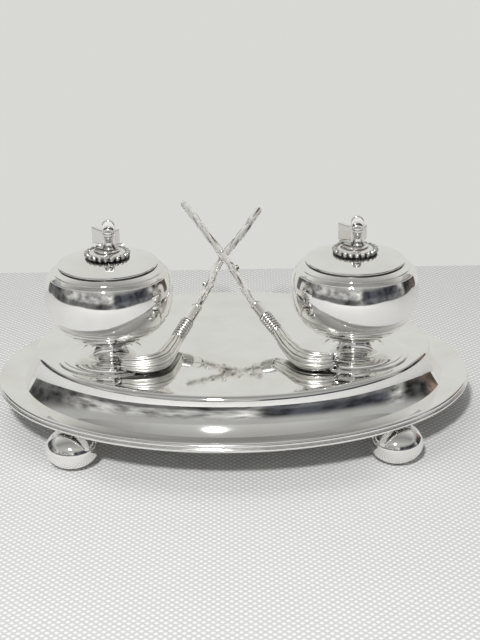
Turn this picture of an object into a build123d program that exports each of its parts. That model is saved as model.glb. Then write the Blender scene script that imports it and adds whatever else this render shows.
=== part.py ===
from build123d import *
import os
from math import cos, pi, radians, sin, sqrt

# Desk inkstand with two inkwells shaped as curling stones and two crossed
# curling brooms as a pen rest, all standing on an oval footed tray.
# Millimetres, +Z up, origin on the table under the middle of the tray,
# +X along the tray to the right, the front of the inkstand towards -Y.

# ---------------------------------------------------------------- tray
TRAY_LENGTH = 290.0
TRAY_DEPTH = 222.0
SHEET = 1.2                 # silver sheet of the tray
DISH = 2.6                  # rise of the flange from the plateau to the rim
FLANGE_WIDTH = 16.3         # from the outermost edge to the foot of the slope
SLOPE_RUN = 8.2             # how far the plateau's side leans in
PLATEAU_RISE = 20.9         # plateau top above the foot of its slope
PLATEAU_ROUND = 3.4         # rounding of the plateau's top edge
SLOPE_POWER = 2.2           # how hollow the plateau's side is

# ---------------------------------------------------------------- rim border
BEAD_UPPER = 1.55           # radius of the upper bead
BEAD_LOWER = 1.35           # radius of the lower bead
BEAD_STEP = 0.9             # how far the lower bead stands out past the upper
BEAD_PITCH = 2.15           # height between the two bead centres
RIM_LIP = 2.2               # ledge under the flange's edge
RIM_LIP_THICKNESS = 1.2

# ---------------------------------------------------------------- ball feet
FOOT_RADIUS = 15.5
FOOT_HEIGHT = 23.4
FOOT_FLAT = 0.35            # height cut off the ball where it rests
FOOT_NECK_RADIUS = 4.8
FOOT_GAP = 1.25             # neck height between ball and flange
FOOT_LINE = 8.0             # inset of the oval that the feet stand on
FOOT_X = 93.4 / 137.0 * (TRAY_LENGTH / 2 - FOOT_LINE)
FOOT_Y = 75.0 / 103.0 * (TRAY_DEPTH / 2 - FOOT_LINE)

# ---------------------------------------------------------------- inkwells
WELL_X = 72.5
WELL_Y = -21.7
PEDESTAL_RADIUS = 33.0
PEDESTAL_EDGE = 1.0
PEDESTAL_STEP = 3.2         # width of the flat step round the edge
PEDESTAL_SHOULDER = 3.4     # height of the low dome
PEDESTAL_RING = 18.4        # radius where the dome meets the trumpet
NECK_RADIUS = 8.6
NECK_Z = 11.0
STONE_RADIUS = 38.0
BELLY_Z = 39.5              # height of the widest place
BELLY_LOWER = 28.2          # radius of the lower curve
BELLY_UPPER = 34.4          # radius of the upper curve
STONE_BASE = 12.0
STONE_WALL = 1.3
SHOULDER_Z = 52.5
MOUTH_Z = 57.2
MOUTH_RADIUS = 29.6
MOUTH_BORE = 27.6
GROOVE = 0.3                # depth and half width of an engraved ring
GROOVE_LEVELS = (22.9, 25.4)
SHOULDER_GROOVES = (0.12, 0.55)     # places along the shoulder's slope

# ---------------------------------------------------------------- collar and liner
COLLAR_RADIUS = 29.2
COLLAR_FLANGE = 0.8
COLLAR_BORE = 24.8
COLLAR_SKIRT = 1.1          # wall of the skirt in the mouth
COLLAR_DEPTH = 3.6
LEDGE_DEPTH = 1.0           # recess for the glass liner's flange
LINER_GAP = 0.3
LINER_WALL = 1.8
LINER_FLANGE = 1.4
LINER_DEPTH = 31.0

# ---------------------------------------------------------------- lid and its hinge
LID_RADIUS = 29.3
LID_GAP = 0.1               # between lid and collar
LID_EDGE = 1.1
LID_CROWN = 4.3             # rise of the lid's dome
LID_WALL = 1.1
LID_SEAT = 2.6              # width of the flat seat under the edge
HINGE_OUT = 2.3             # hinge axis behind the lid's edge
HINGE_UP = 0.7              # hinge axis above the lid's seat
KNUCKLE_RADIUS = 1.6
HINGE_LENGTH = 14.0
LID_KNUCKLE = 5.2
KNUCKLE_GAP = 0.2
PIN_RADIUS = 0.75
PIN_CLEARANCE = 0.05

# ---------------------------------------------------------------- finial on the lid
ROSETTE_RADIUS = 14.0
ROSETTE_LOBES = 22
ROSETTE_VALLEY = 1.3        # depth of the notches between the lobes
ROSETTE_HEIGHT = 2.6
ROSETTE_TOP = 7.9
DISC_RADIUS = 7.5
DISC_HEIGHT = 1.2
POST_WIDTH = 7.4
POST_THICKNESS = 3.2
POST_HEIGHT = 17.6
POST_SIDE = 1.2             # post centre to the right of the lid's axis
POST_BACK = 1.6             # post centre behind the lid's axis
FERRULE_RADIUS = 3.2
FERRULE_HEIGHT = 12.8
FERRULE_WAIST = 1.75
GRIP_LENGTH = 11.0
GRIP_HEIGHT = 10.2
GRIP_THICKNESS = 2.8
GRIP_TAPER = 1.8
GRIP_LIFT = 0.7             # grip's outer lower corner above the disc
GRIP_ANGLE = 128.0          # direction of the grip, seen from above
BRACE_LENGTH = 5.2          # short plate on the other side of the post
BRACE_HEIGHT = 8.6
BRACE_LIFT = 1.9
BRACE_THICKNESS = 2.0
BRACE_ANGLE = 64.0
STUD_RADIUS = 1.3
STUD_CLEARANCE = 0.05
NUT_ACROSS = 5.0
NUT_HEIGHT = 1.6

# ---------------------------------------------------------------- brooms
# The handles recline to the back in one sloping plane, a little apart where they cross.
BROOM_SLOPE = 0.573         # rise of that plane per millimetre to the back
BROOM_LEVEL = 16.6          # its height over the plateau at y = 0
BROOM_PART = 2.45           # each handle's centre above or below the plane
HANDLE_RADIUS = 2.3
KNOT_RADIUS = 2.75
TWIG_STUB = 2.3
# Handle bends from the top down, as (x, y) in the sloping plane.
RIGHT_HANDLE = ((-30.7, 79.5), (-19.6, 62.5), (-6.6, 41.5), (0.6, 29.8), (8.5, 14.1), (13.8, 5.0))
LEFT_HANDLE = ((18.4, 77.9), (6.6, 59.0), (-3.0, 46.1), (-8.6, 36.6), (-14.2, 22.0), (-21.4, 7.6))
RIGHT_KNOT = 3              # bend that carries the cut-off side twig
LEFT_KNOT = 4
RIVET_RADIUS = 0.8
RIVET_HEAD = 1.4
SLEEVE_RADIUS = 3.5
BINDING_LENGTH = 14.0
BINDING_RADIUS = 4.2
BINDING_TURNS = 8
# Centre line of the heads after the binding, as (distance out, y, height over the plateau).
RIGHT_HEAD = ((27.3, -15.5, 10.5), (34.5, -34.4, 6.6), (42.5, -47.8, 5.6), (50.8, -50.4, 5.4), (58.5, -49.2, 5.6))
LEFT_HEAD = ((33.7, -13.7, 6.6), (37.6, -31.3, 6.2), (43.3, -46.0, 5.6), (52.5, -49.8, 5.4), (65.4, -47.6, 5.6))
HEAD_RADII = (3.9, 5.0, 5.6, 5.2, 4.2)
HEAD_FLUTES = 11
FLUTE_DEPTH = 0.075         # share of the radius
END_SLOTS = 5               # slots through the end that part its bristles
SLOT_WIDTH = 0.6
SLOT_DEPTH = 5.5
END_SLANT = 57.0            # lean of the end, whose upper side reaches further out
BROOM_ROOM = 0.35           # space between a head and the inkwell's foot

# ---------------------------------------------------------------- fixings
BOLT_RADIUS = 2.0
BOLT_HEAD = 8.0
BOLT_HEAD_HEIGHT = 2.6
WASHER_HEIGHT = 0.8
WASHER_MARGIN = 1.6
SCREW_RADIUS = 1.25
SCREW_HEAD = 5.0
SCREW_HEAD_HEIGHT = 1.8
SCREW_REACH = 3.4
HOLE_CLEARANCE = 0.1

# ---------------------------------------------------------------- levels that follow
FLANGE_FOOT_Z = FOOT_HEIGHT - FOOT_FLAT + FOOT_GAP + SHEET
RIM_Z = FLANGE_FOOT_Z + DISH
PLATEAU_Z = FLANGE_FOOT_Z + PLATEAU_RISE
UNDERSIDE_Z = PLATEAU_Z - SHEET
COLLAR_TOP = MOUTH_Z + COLLAR_FLANGE
LEDGE_Z = COLLAR_TOP - LEDGE_DEPTH - LINER_FLANGE / 2
LID_Z = COLLAR_TOP + LID_GAP
LID_TOP = LID_Z + LID_EDGE + LID_CROWN
NUT_TOP = LID_TOP - LID_WALL - 0.4
BOLT_TOP = NECK_Z + 4.0
HINGE_Y = LID_RADIUS + HINGE_OUT
HINGE_Z = LID_Z + HINGE_UP
ROSETTE_Z = LID_TOP
DISC_Z = ROSETTE_Z + ROSETTE_HEIGHT - 0.3
HANDLE_Z = DISC_Z + DISC_HEIGHT
LOWER_CENTRE = STONE_RADIUS - BELLY_LOWER
UPPER_CENTRE = STONE_RADIUS - BELLY_UPPER


def turned(*edges):
    """Solid of revolution about Z from the edges of a half section (radius, height)."""
    return revolve(Plane.XZ * make_face(edges), Axis.Z)


def ring(outer, inner, low, high):
    """Plain ring between two radii and two heights."""
    tube = Circle(outer) - Circle(inner)
    return Pos(0, 0, low) * extrude(tube, amount=high - low)


def oval(inset, z):
    """Flat oval of the tray, drawn in by inset from its outermost edge."""
    return Pos(0, 0, z) * Ellipse(TRAY_LENGTH / 2 - inset, TRAY_DEPTH / 2 - inset)


def slab(inset, low, high):
    """Upright oval block."""
    return extrude(oval(inset, low), amount=high - low)


def hexagon(across, low, high):
    """Hexagonal prism with the given width across flats."""
    return Pos(0, 0, low) * extrude(RegularPolygon(across / 2, 6, major_radius=False), amount=high - low)


# ================================================================ tray
def slope_inset(share):
    """Inset of the plateau's hollow side at a share of its rise."""
    return FLANGE_WIDTH + SLOPE_RUN * (1 - (1 - share) ** SLOPE_POWER)


def plateau_form(extra, top, foot, rounding):
    """Solid plateau whose side is drawn in by extra, from foot level to top level."""
    straight = 1 - rounding / (top - foot)
    sections = [oval(slope_inset(s) + extra, foot + s * (top - foot)) for s in (0.0, 0.1, 0.25, 0.5, straight)]
    edge = slope_inset(straight) + extra
    for angle in (30, 60, 90):
        lean = radians(angle)
        sections.append(oval(edge + rounding * (1 - cos(lean)), top - rounding * (1 - sin(lean))))
    return loft(sections, ruled=True)


def fixing_holes():
    """Clearance holes through the plateau for the inkwell bolts and broom screws."""
    depth = 4 * SHEET
    bolt = Cylinder(BOLT_RADIUS + HOLE_CLEARANCE, depth)
    screw = Cylinder(SCREW_RADIUS + HOLE_CLEARANCE, depth)
    wells = [Pos(side * WELL_X, WELL_Y, PLATEAU_Z) * bolt for side in (-1, 1)]
    brooms = [screw_place(head, side) * screw for head, side in ((LEFT_HEAD, -1), (RIGHT_HEAD, 1))]
    return wells + brooms


def make_tray():
    """Sheet tray: dished flange, hollow sloping side and flat plateau, open below."""
    edge = BEAD_UPPER + BEAD_STEP
    dish = loft([oval(FLANGE_WIDTH, FLANGE_FOOT_Z), oval(edge + RIM_LIP, RIM_Z)], ruled=True)
    under = loft([oval(FLANGE_WIDTH, FLANGE_FOOT_Z - SHEET), oval(edge + RIM_LIP, RIM_Z - SHEET)], ruled=True)
    flange = under + slab(edge, RIM_Z - SHEET, RIM_Z) - dish
    outside = plateau_form(0.0, PLATEAU_Z, FLANGE_FOOT_Z, PLATEAU_ROUND)
    inside = plateau_form(SHEET, UNDERSIDE_Z, FLANGE_FOOT_Z - SHEET, PLATEAU_ROUND - SHEET)
    body = flange + outside - inside
    for hole in fixing_holes():
        body -= hole
    return body


def bead(radius, inset, z, angles):
    """Ovals that follow the outer half of a bead, from the first angle to the last."""
    turns = [radians(angle) for angle in angles]
    return [oval(inset - radius * cos(turn), z + radius * sin(turn)) for turn in turns]


def make_rim_border():
    """Two-bead border with a ledge that carries the flange's edge."""
    edge = BEAD_UPPER + BEAD_STEP
    upper_z = RIM_Z - 1.1
    lower_z = upper_z - BEAD_PITCH
    ledge_top = RIM_Z - SHEET
    ledge_low = ledge_top - RIM_LIP_THICKNESS
    outline = bead(BEAD_LOWER, BEAD_LOWER, lower_z, (-90, -50, -10, 30, 55))
    outline += bead(BEAD_UPPER, edge, upper_z, (-40, 0, 45, 90))
    within = 2 * BEAD_LOWER
    hollow = loft([oval(1.3 * BEAD_LOWER, lower_z - BEAD_LOWER), oval(within, lower_z)], ruled=True)
    hollow += slab(within, lower_z, ledge_low) + slab(edge + RIM_LIP, ledge_low, ledge_top)
    return loft(outline, ruled=True) - hollow - slab(edge, ledge_top, upper_z + BEAD_UPPER)


def make_foot(x, y):
    """Flattened ball foot with a short neck cut to the flange's underside."""
    half = FOOT_HEIGHT / 2
    ball = scale(Sphere(FOOT_RADIUS), by=(1, 1, half / FOOT_RADIUS))
    ball = Pos(0, 0, half - FOOT_FLAT) * ball
    ball &= Pos(0, 0, half) * Box(3 * FOOT_RADIUS, 3 * FOOT_RADIUS, FOOT_HEIGHT)
    neck_foot = FOOT_HEIGHT - 2.0
    neck = Pos(0, 0, neck_foot) * extrude(Circle(FOOT_NECK_RADIUS), amount=RIM_Z - SHEET - neck_foot)
    edge = BEAD_UPPER + BEAD_STEP
    above = loft([oval(FLANGE_WIDTH, FLANGE_FOOT_Z - SHEET), oval(edge + RIM_LIP, RIM_Z - SHEET)], ruled=True)
    ledge_low = RIM_Z - SHEET - RIM_LIP_THICKNESS
    ledge = slab(0, ledge_low, RIM_Z) - slab(edge + RIM_LIP, ledge_low, RIM_Z)
    return Pos(x, y, 0) * (ball + neck) - above - ledge


# ================================================================ inkwells
def make_pedestal():
    """Round stepped foot: flat edge, low dome, ring and trumpet up to the neck."""
    dome_r = PEDESTAL_RADIUS - PEDESTAL_STEP
    low = PEDESTAL_EDGE + 0.5
    ring_z = PEDESTAL_SHOULDER
    trumpet_r = PEDESTAL_RING - 1.2
    outline = [
        Line((0, 0), (PEDESTAL_RADIUS, 0)),
        Line((PEDESTAL_RADIUS, 0), (PEDESTAL_RADIUS, PEDESTAL_EDGE)),
        Line((PEDESTAL_RADIUS, PEDESTAL_EDGE), (dome_r, PEDESTAL_EDGE)),
        Line((dome_r, PEDESTAL_EDGE), (dome_r, low)),
        ThreePointArc((dome_r, low), ((dome_r + PEDESTAL_RING) / 2 + 0.9, ring_z - 0.35), (PEDESTAL_RING, ring_z)),
        Line((PEDESTAL_RING, ring_z), (PEDESTAL_RING, ring_z - 0.6)),
        Line((PEDESTAL_RING, ring_z - 0.6), (trumpet_r, ring_z - 0.6)),
        ThreePointArc((trumpet_r, ring_z - 0.6), (NECK_RADIUS + 2.3, ring_z + 2.2), (NECK_RADIUS, NECK_Z)),
        Line((NECK_RADIUS, NECK_Z), (0, NECK_Z)),
        Line((0, NECK_Z), (0, 0)),
    ]
    hollow = turned(
        Line((0, 0), (PEDESTAL_RADIUS - 4.0, 0)),
        Line((PEDESTAL_RADIUS - 4.0, 0), (PEDESTAL_RING, ring_z - 1.8)),
        Line((PEDESTAL_RING, ring_z - 1.8), (NECK_RADIUS + 2.0, ring_z - 1.0)),
        Line((NECK_RADIUS + 2.0, ring_z - 1.0), (0, ring_z - 1.0)),
        Line((0, ring_z - 1.0), (0, 0)),
    )
    bore = Pos(0, 0, NECK_Z / 2) * Cylinder(BOLT_RADIUS, NECK_Z + 2)
    return turned(*outline) - hollow - bore


def belly_radius(z, wall=0.0):
    """Radius of the stone's side at height z, drawn in by a wall."""
    centre, radius = (LOWER_CENTRE, BELLY_LOWER) if z < BELLY_Z else (UPPER_CENTRE, BELLY_UPPER)
    return centre + sqrt((radius - wall) ** 2 - (z - BELLY_Z) ** 2)


def belly_height(radius, wall=0.0):
    """Height of the lower curve at a radius, drawn in by a wall."""
    return BELLY_Z - sqrt((BELLY_LOWER - wall) ** 2 - (radius - LOWER_CENTRE) ** 2)


def belly_arc(low, high, wall=0.0):
    """Arc of the stone's side between two heights on the same side of its widest place."""
    middle = (low + high) / 2
    return ThreePointArc((belly_radius(low, wall), low), (belly_radius(middle, wall), middle),
                         (belly_radius(high, wall), high))


def engraved(low, high):
    """Two short lines that cut an engraved ring between two points of the side."""
    deep = ((low[0] + high[0]) / 2 - GROOVE, (low[1] + high[1]) / 2)
    return [Line(low, deep), Line(deep, high)]


def shoulder_point(share):
    """Point on the outside of the shoulder's slope."""
    start = (belly_radius(SHOULDER_Z), SHOULDER_Z)
    return (start[0] + share * (MOUTH_RADIUS - start[0]), start[1] + share * (MOUTH_Z - start[1]))


def stone_outside():
    """Half section of the stone's outside with its engraved rings, closed on the axis."""
    base = belly_height(STONE_BASE)
    edges = [Line((0, base), (STONE_BASE, base))]
    level = base
    for ring_z in GROOVE_LEVELS:
        low, high = ring_z - GROOVE, ring_z + GROOVE
        edges.append(belly_arc(level, low))
        edges += engraved((belly_radius(low), low), (belly_radius(high), high))
        level = high
    edges += [belly_arc(level, BELLY_Z), belly_arc(BELLY_Z, SHOULDER_Z)]
    place = shoulder_point(0)
    for share in SHOULDER_GROOVES:
        low, high = shoulder_point(share - GROOVE / 8), shoulder_point(share + GROOVE / 8)
        edges += [Line(place, low)] + engraved(low, high)
        place = high
    return edges + [Line(place, (MOUTH_RADIUS, MOUTH_Z)), Line((MOUTH_RADIUS, MOUTH_Z), (0, MOUTH_Z)),
                    Line((0, MOUTH_Z), (0, base))]


def stone_inside():
    """Half section of the hollow in the stone, closed on the axis."""
    floor = belly_height(LOWER_CENTRE, STONE_WALL)
    high = SHOULDER_Z - 0.4 * STONE_WALL
    return [
        Line((0, floor), (LOWER_CENTRE, floor)),
        belly_arc(floor, BELLY_Z, STONE_WALL),
        belly_arc(BELLY_Z, high, STONE_WALL),
        Line((belly_radius(high, STONE_WALL), high), (MOUTH_BORE, MOUTH_Z)),
        Line((MOUTH_BORE, MOUTH_Z), (0, MOUTH_Z)),
        Line((0, MOUTH_Z), (0, floor)),
    ]


def make_bowl():
    """Hollow curling-stone body with engraved rings, a bolt boss and an open mouth."""
    base = belly_height(STONE_BASE)
    floor = belly_height(LOWER_CENTRE, STONE_WALL)
    boss = ring(2.6 * BOLT_RADIUS, 0.5, floor - 0.6, BOLT_TOP)
    bore = Pos(0, 0, (base + BOLT_TOP) / 2) * Cylinder(BOLT_RADIUS, BOLT_TOP - base + 2)
    return turned(*stone_outside()) - turned(*stone_inside()) + boss - bore


def make_collar():
    """Mouth ring: flange on the bowl, skirt inside it and a ledge for the glass."""
    skirt_r = MOUTH_BORE
    recess_r = skirt_r - COLLAR_SKIRT
    body = ring(COLLAR_RADIUS, recess_r, MOUTH_Z, COLLAR_TOP)
    body += ring(skirt_r, recess_r, MOUTH_Z - COLLAR_DEPTH, MOUTH_Z)
    return body + ring(recess_r, COLLAR_BORE, MOUTH_Z - COLLAR_DEPTH, LEDGE_Z)


def make_liner():
    """Pressed glass ink cup hanging by its flange on the collar's ledge."""
    outer = COLLAR_BORE - LINER_GAP
    flange_r = MOUTH_BORE - COLLAR_SKIRT - LINER_GAP
    bottom = LEDGE_Z - LINER_DEPTH
    body = ring(flange_r, outer - LINER_WALL, LEDGE_Z, LEDGE_Z + LINER_FLANGE)
    cup = Pos(0, 0, bottom) * extrude(Circle(outer), amount=LINER_DEPTH)
    cup = chamfer(cup.edges().group_by(Axis.Z)[0], 2.0)
    floor = bottom + LINER_WALL + 0.6
    inside = Pos(0, 0, floor) * extrude(Circle(outer - LINER_WALL), amount=LINER_DEPTH)
    return body + cup - chamfer(inside.edges().group_by(Axis.Z)[0], 1.0)


def make_bolt():
    """Bolt from under the plateau up into the bowl's boss."""
    head_top = -SHEET - WASHER_HEIGHT
    shank = Pos(0, 0, head_top) * extrude(Circle(BOLT_RADIUS), amount=BOLT_TOP - head_top)
    return shank + hexagon(BOLT_HEAD, head_top - BOLT_HEAD_HEIGHT, head_top)


def make_washer(bore, head):
    """Flat washer against the plateau's underside."""
    return ring(head / 2 + WASHER_MARGIN, bore, -SHEET - WASHER_HEIGHT, -SHEET)


# ================================================================ lid
def dome(radius, wall=0.0):
    """Height of the lid's dome at a radius, drawn in by a wall."""
    reach = LID_RADIUS - 0.5
    sphere_r = (reach ** 2 + LID_CROWN ** 2) / (2 * LID_CROWN)
    return LID_TOP - sphere_r + sqrt((sphere_r - wall) ** 2 - radius ** 2)


def make_lid():
    """Domed sheet lid with a flat seat under its edge and a flat pad for the nut."""
    crown_z = LID_Z + LID_EDGE
    edge_r = LID_RADIUS - 0.5
    inner_r = LID_RADIUS - LID_SEAT
    outside = turned(
        Line((0, LID_Z), (LID_RADIUS, LID_Z)),
        Line((LID_RADIUS, LID_Z), (LID_RADIUS, crown_z - 0.4)),
        Line((LID_RADIUS, crown_z - 0.4), (edge_r, crown_z)),
        ThreePointArc((edge_r, crown_z), (edge_r / 2, dome(edge_r / 2, 0)), (0, dome(0, 0))),
        Line((0, dome(0, 0)), (0, LID_Z)),
    )
    inside = turned(
        Line((0, LID_Z), (inner_r, LID_Z)),
        Line((inner_r, LID_Z), (inner_r, dome(inner_r, LID_WALL))),
        ThreePointArc((inner_r, dome(inner_r, LID_WALL)), (inner_r / 2, dome(inner_r / 2, LID_WALL)),
                      (0, dome(0, LID_WALL))),
        Line((0, dome(0, LID_WALL)), (0, LID_Z)),
    )
    pad = ring(NUT_ACROSS * 0.8, 0.5, NUT_TOP, LID_TOP - LID_WALL / 2)
    return outside - inside + pad - Pos(0, 0, LID_TOP) * Cylinder(STUD_RADIUS + STUD_CLEARANCE, 6)


def knuckle(length, offset, bore):
    """Hinge knuckle about the hinge axis, offset along it."""
    tube = Plane.YZ * (Circle(KNUCKLE_RADIUS) - Circle(bore))
    return Pos(offset - length / 2, HINGE_Y, HINGE_Z) * extrude(tube, amount=length)


def make_lid_knuckle():
    """Middle knuckle with the leaf that is soldered to the lid's edge."""
    inner = LID_RADIUS - 1.2
    leaf = Pos(0, (inner + HINGE_Y) / 2, LID_Z + 0.55) * Box(LID_KNUCKLE, HINGE_Y - inner, 0.9)
    leaf -= Pos(0, 0, LID_Z) * extrude(Circle(LID_RADIUS), amount=LID_EDGE)
    bore = PIN_RADIUS + PIN_CLEARANCE
    return knuckle(LID_KNUCKLE, 0.0, bore) + leaf - hinge_bore(bore)


def hinge_bore(radius):
    """Bore right through the hinge."""
    return Pos(0, HINGE_Y, HINGE_Z) * Rot(0, 90, 0) * Cylinder(radius, HINGE_LENGTH + 2)


def make_collar_knuckles():
    """Two outer knuckles with lugs down to the collar's flange."""
    length = (HINGE_LENGTH - LID_KNUCKLE) / 2 - KNUCKLE_GAP
    body = Part()
    for side in (-1, 1):
        offset = side * (LID_KNUCKLE / 2 + KNUCKLE_GAP + length / 2)
        depth = HINGE_Y - COLLAR_RADIUS + 1.4
        lug = Pos(offset, COLLAR_RADIUS - 1.4 + depth / 2, MOUTH_Z + COLLAR_FLANGE / 2) * Box(
            length, depth, COLLAR_FLANGE)
        lug -= Pos(0, 0, MOUTH_Z) * extrude(Circle(COLLAR_RADIUS), amount=COLLAR_FLANGE)
        body += knuckle(length, offset, PIN_RADIUS) + lug
    return body - hinge_bore(PIN_RADIUS)


def make_hinge_pin():
    """Plain pin with its ends flush with the outer knuckles."""
    return Pos(0, HINGE_Y, HINGE_Z) * Rot(0, 90, 0) * Cylinder(PIN_RADIUS, HINGE_LENGTH)


# ================================================================ finial
def lobed(radius, z):
    """Flat outline of rounded lobes with notches between them."""
    step = 2 * pi / ROSETTE_LOBES

    def at(turn, reach):
        """Point at a part of a lobe's turn."""
        return (reach * cos(turn * step), reach * sin(turn * step))

    valley = radius - ROSETTE_VALLEY
    arcs = [ThreePointArc(at(i - 0.5, valley), at(i, radius), at(i + 0.5, valley)) for i in range(ROSETTE_LOBES)]
    return Pos(0, 0, z) * make_face(arcs)


def make_rosette():
    """Domed rosette with a row of rounded lobes, lying on the lid."""
    top = ROSETTE_Z + ROSETTE_HEIGHT
    low = dome(ROSETTE_RADIUS) - 0.1
    rise = top - 0.5 - low
    body = loft([
        lobed(ROSETTE_RADIUS - 0.7, low),
        lobed(ROSETTE_RADIUS, low + 0.35 * rise),
        lobed(ROSETTE_RADIUS - 0.3, low + 0.7 * rise),
        lobed(ROSETTE_RADIUS - 1.8, low + rise),
    ], ruled=True)
    shoulder = ROSETTE_RADIUS - 1.8 - ROSETTE_VALLEY
    body += turned(
        Line((0, low + rise), (shoulder, low + rise)),
        ThreePointArc((shoulder, low + rise), ((shoulder + ROSETTE_TOP) / 2 + 0.2, top - 0.12), (ROSETTE_TOP, DISC_Z)),
        Line((ROSETTE_TOP, DISC_Z), (0, DISC_Z)),
        Line((0, DISC_Z), (0, low + rise)),
    )
    under = turned(
        Line((0, low - 2), (ROSETTE_RADIUS + 2, low - 2)),
        Line((ROSETTE_RADIUS + 2, low - 2), (ROSETTE_RADIUS + 2, dome(ROSETTE_RADIUS + 2))),
        ThreePointArc((ROSETTE_RADIUS + 2, dome(ROSETTE_RADIUS + 2)), (7, dome(7)), (0, dome(0))),
        Line((0, dome(0)), (0, low - 2)),
    )
    return body - under - finial_bore()


def finial_bore():
    """Bore for the stud through rosette and disc."""
    return Pos(0, 0, ROSETTE_Z) * Cylinder(STUD_RADIUS, 24)


def make_disc():
    """Small round plate between rosette and handle."""
    disc = Pos(0, 0, DISC_Z) * extrude(Circle(DISC_RADIUS), amount=DISC_HEIGHT)
    return chamfer(disc.edges().group_by(Axis.Z)[-1], 0.35) - Pos(0, 0, DISC_Z) * Cylinder(STUD_RADIUS, 24)


def make_post():
    """Upright flat bar with a round top, the back of the curling handle."""
    flat = Pos(0, (POST_HEIGHT - POST_WIDTH / 2) / 2) * Rectangle(POST_WIDTH, POST_HEIGHT - POST_WIDTH / 2)
    face = flat + Pos(0, POST_HEIGHT - POST_WIDTH / 2) * Circle(POST_WIDTH / 2)
    bar = extrude(Plane.XZ * face, amount=POST_THICKNESS / 2, both=True)
    long_edges = bar.faces().filter_by(Axis.Y).edges().filter_by_position(Axis.Z, 0.5, POST_HEIGHT + 1)
    bar = fillet(long_edges, 0.6)
    return Pos(POST_SIDE, POST_BACK, HANDLE_Z) * bar


def make_ferrule():
    """Turned stem in front of the post, with a banded domed cap."""
    cap = FERRULE_HEIGHT - 4.4
    r = FERRULE_RADIUS
    w = FERRULE_WAIST
    body = turned(
        Line((0, 0), (w + 0.9, 0)),
        Line((w + 0.9, 0), (w + 0.9, 0.9)),
        ThreePointArc((w + 0.9, 0.9), (w, cap / 2), (r - 0.5, cap - 0.6)),
        Line((r - 0.5, cap - 0.6), (r - 0.5, cap)),
        Line((r - 0.5, cap), (r, cap + 0.5)),
        Line((r, cap + 0.5), (r, cap + 1.5)),
        Line((r, cap + 1.5), (r - 0.45, cap + 1.7)),
        Line((r - 0.45, cap + 1.7), (r - 0.45, cap + 2.2)),
        Line((r - 0.45, cap + 2.2), (r - 0.1, cap + 2.4)),
        ThreePointArc((r - 0.1, cap + 2.4), (r * 0.72, cap + 3.9), (0, FERRULE_HEIGHT)),
        Line((0, FERRULE_HEIGHT), (0, 0)),
    )
    front = POST_BACK - POST_THICKNESS / 2 - w
    keep = Pos(POST_SIDE, POST_BACK, HANDLE_Z + FERRULE_HEIGHT / 2) * Box(
        3 * POST_WIDTH, POST_THICKNESS, 2 * FERRULE_HEIGHT)
    return Pos(POST_SIDE, front, HANDLE_Z) * body - keep


def make_plate(length, low_in, low_out, top, thickness, side, angle):
    """Flat plate with rounded edges that reaches back and out from one side of the post."""
    outline = Polyline((0, low_in), (length, low_out), (length, top), (0, top), close=True)
    plate = extrude(Plane.XZ * make_face(outline), amount=thickness / 2, both=True)
    plate = fillet(plate.edges(), 0.5)
    start = Pos(POST_SIDE + side * (POST_WIDTH / 2 - 0.8), POST_BACK, HANDLE_Z) * Rot(0, 0, angle)
    keep = Pos(POST_SIDE, POST_BACK, HANDLE_Z + POST_HEIGHT / 2) * Box(POST_WIDTH, POST_THICKNESS, 2 * POST_HEIGHT)
    return start * plate - keep


def make_grip():
    """Broad plate to the left of the post."""
    return make_plate(GRIP_LENGTH, GRIP_LIFT + GRIP_TAPER, GRIP_LIFT, GRIP_LIFT + GRIP_HEIGHT,
                      GRIP_THICKNESS, -1, GRIP_ANGLE)


def make_brace():
    """Short plate to the right of the post."""
    return make_plate(BRACE_LENGTH, BRACE_LIFT, BRACE_LIFT, BRACE_LIFT + BRACE_HEIGHT,
                      BRACE_THICKNESS, 1, BRACE_ANGLE)


def make_stud_nut():
    """Stud from the handle down through the lid, with its nut inside."""
    low = NUT_TOP - NUT_HEIGHT
    stud = Pos(0, 0, low - 0.6) * extrude(Circle(STUD_RADIUS), amount=HANDLE_Z - low + 0.6)
    return stud + hexagon(NUT_ACROSS, low, NUT_TOP)


# ================================================================ brooms
def lean_normal():
    """Direction square to the sloping plane of the handles, upwards."""
    return Vector(0, -BROOM_SLOPE, 1).normalized()


def lean_spot(x, y):
    """Point of the sloping plane above (x, y)."""
    return Vector(x, y, PLATEAU_Z + BROOM_LEVEL + BROOM_SLOPE * y)


def handle_spots(bends, front):
    """Points of a handle's centre line, above the sloping plane for the front broom."""
    offset = lean_normal() * (BROOM_PART if front else -BROOM_PART)
    return [lean_spot(x, y) + offset for x, y in bends]


def head_spots(head, side):
    """Points of a head's centre line."""
    return [Vector(side * out, y, PLATEAU_Z + height) for out, y, height in head]


def screw_place(head, side):
    """Place on the plateau under the head's lowest bend, where its screw comes up."""
    return Pos(side * head[2][0], head[2][1], PLATEAU_Z)


def taper(a, b, radius_a, radius_b):
    """Round taper between two points."""
    along = b - a
    base = Plane(origin=a, z_dir=along)
    return base * loft([Circle(radius_a), Pos(0, 0, along.length) * Circle(radius_b)], ruled=True)


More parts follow.
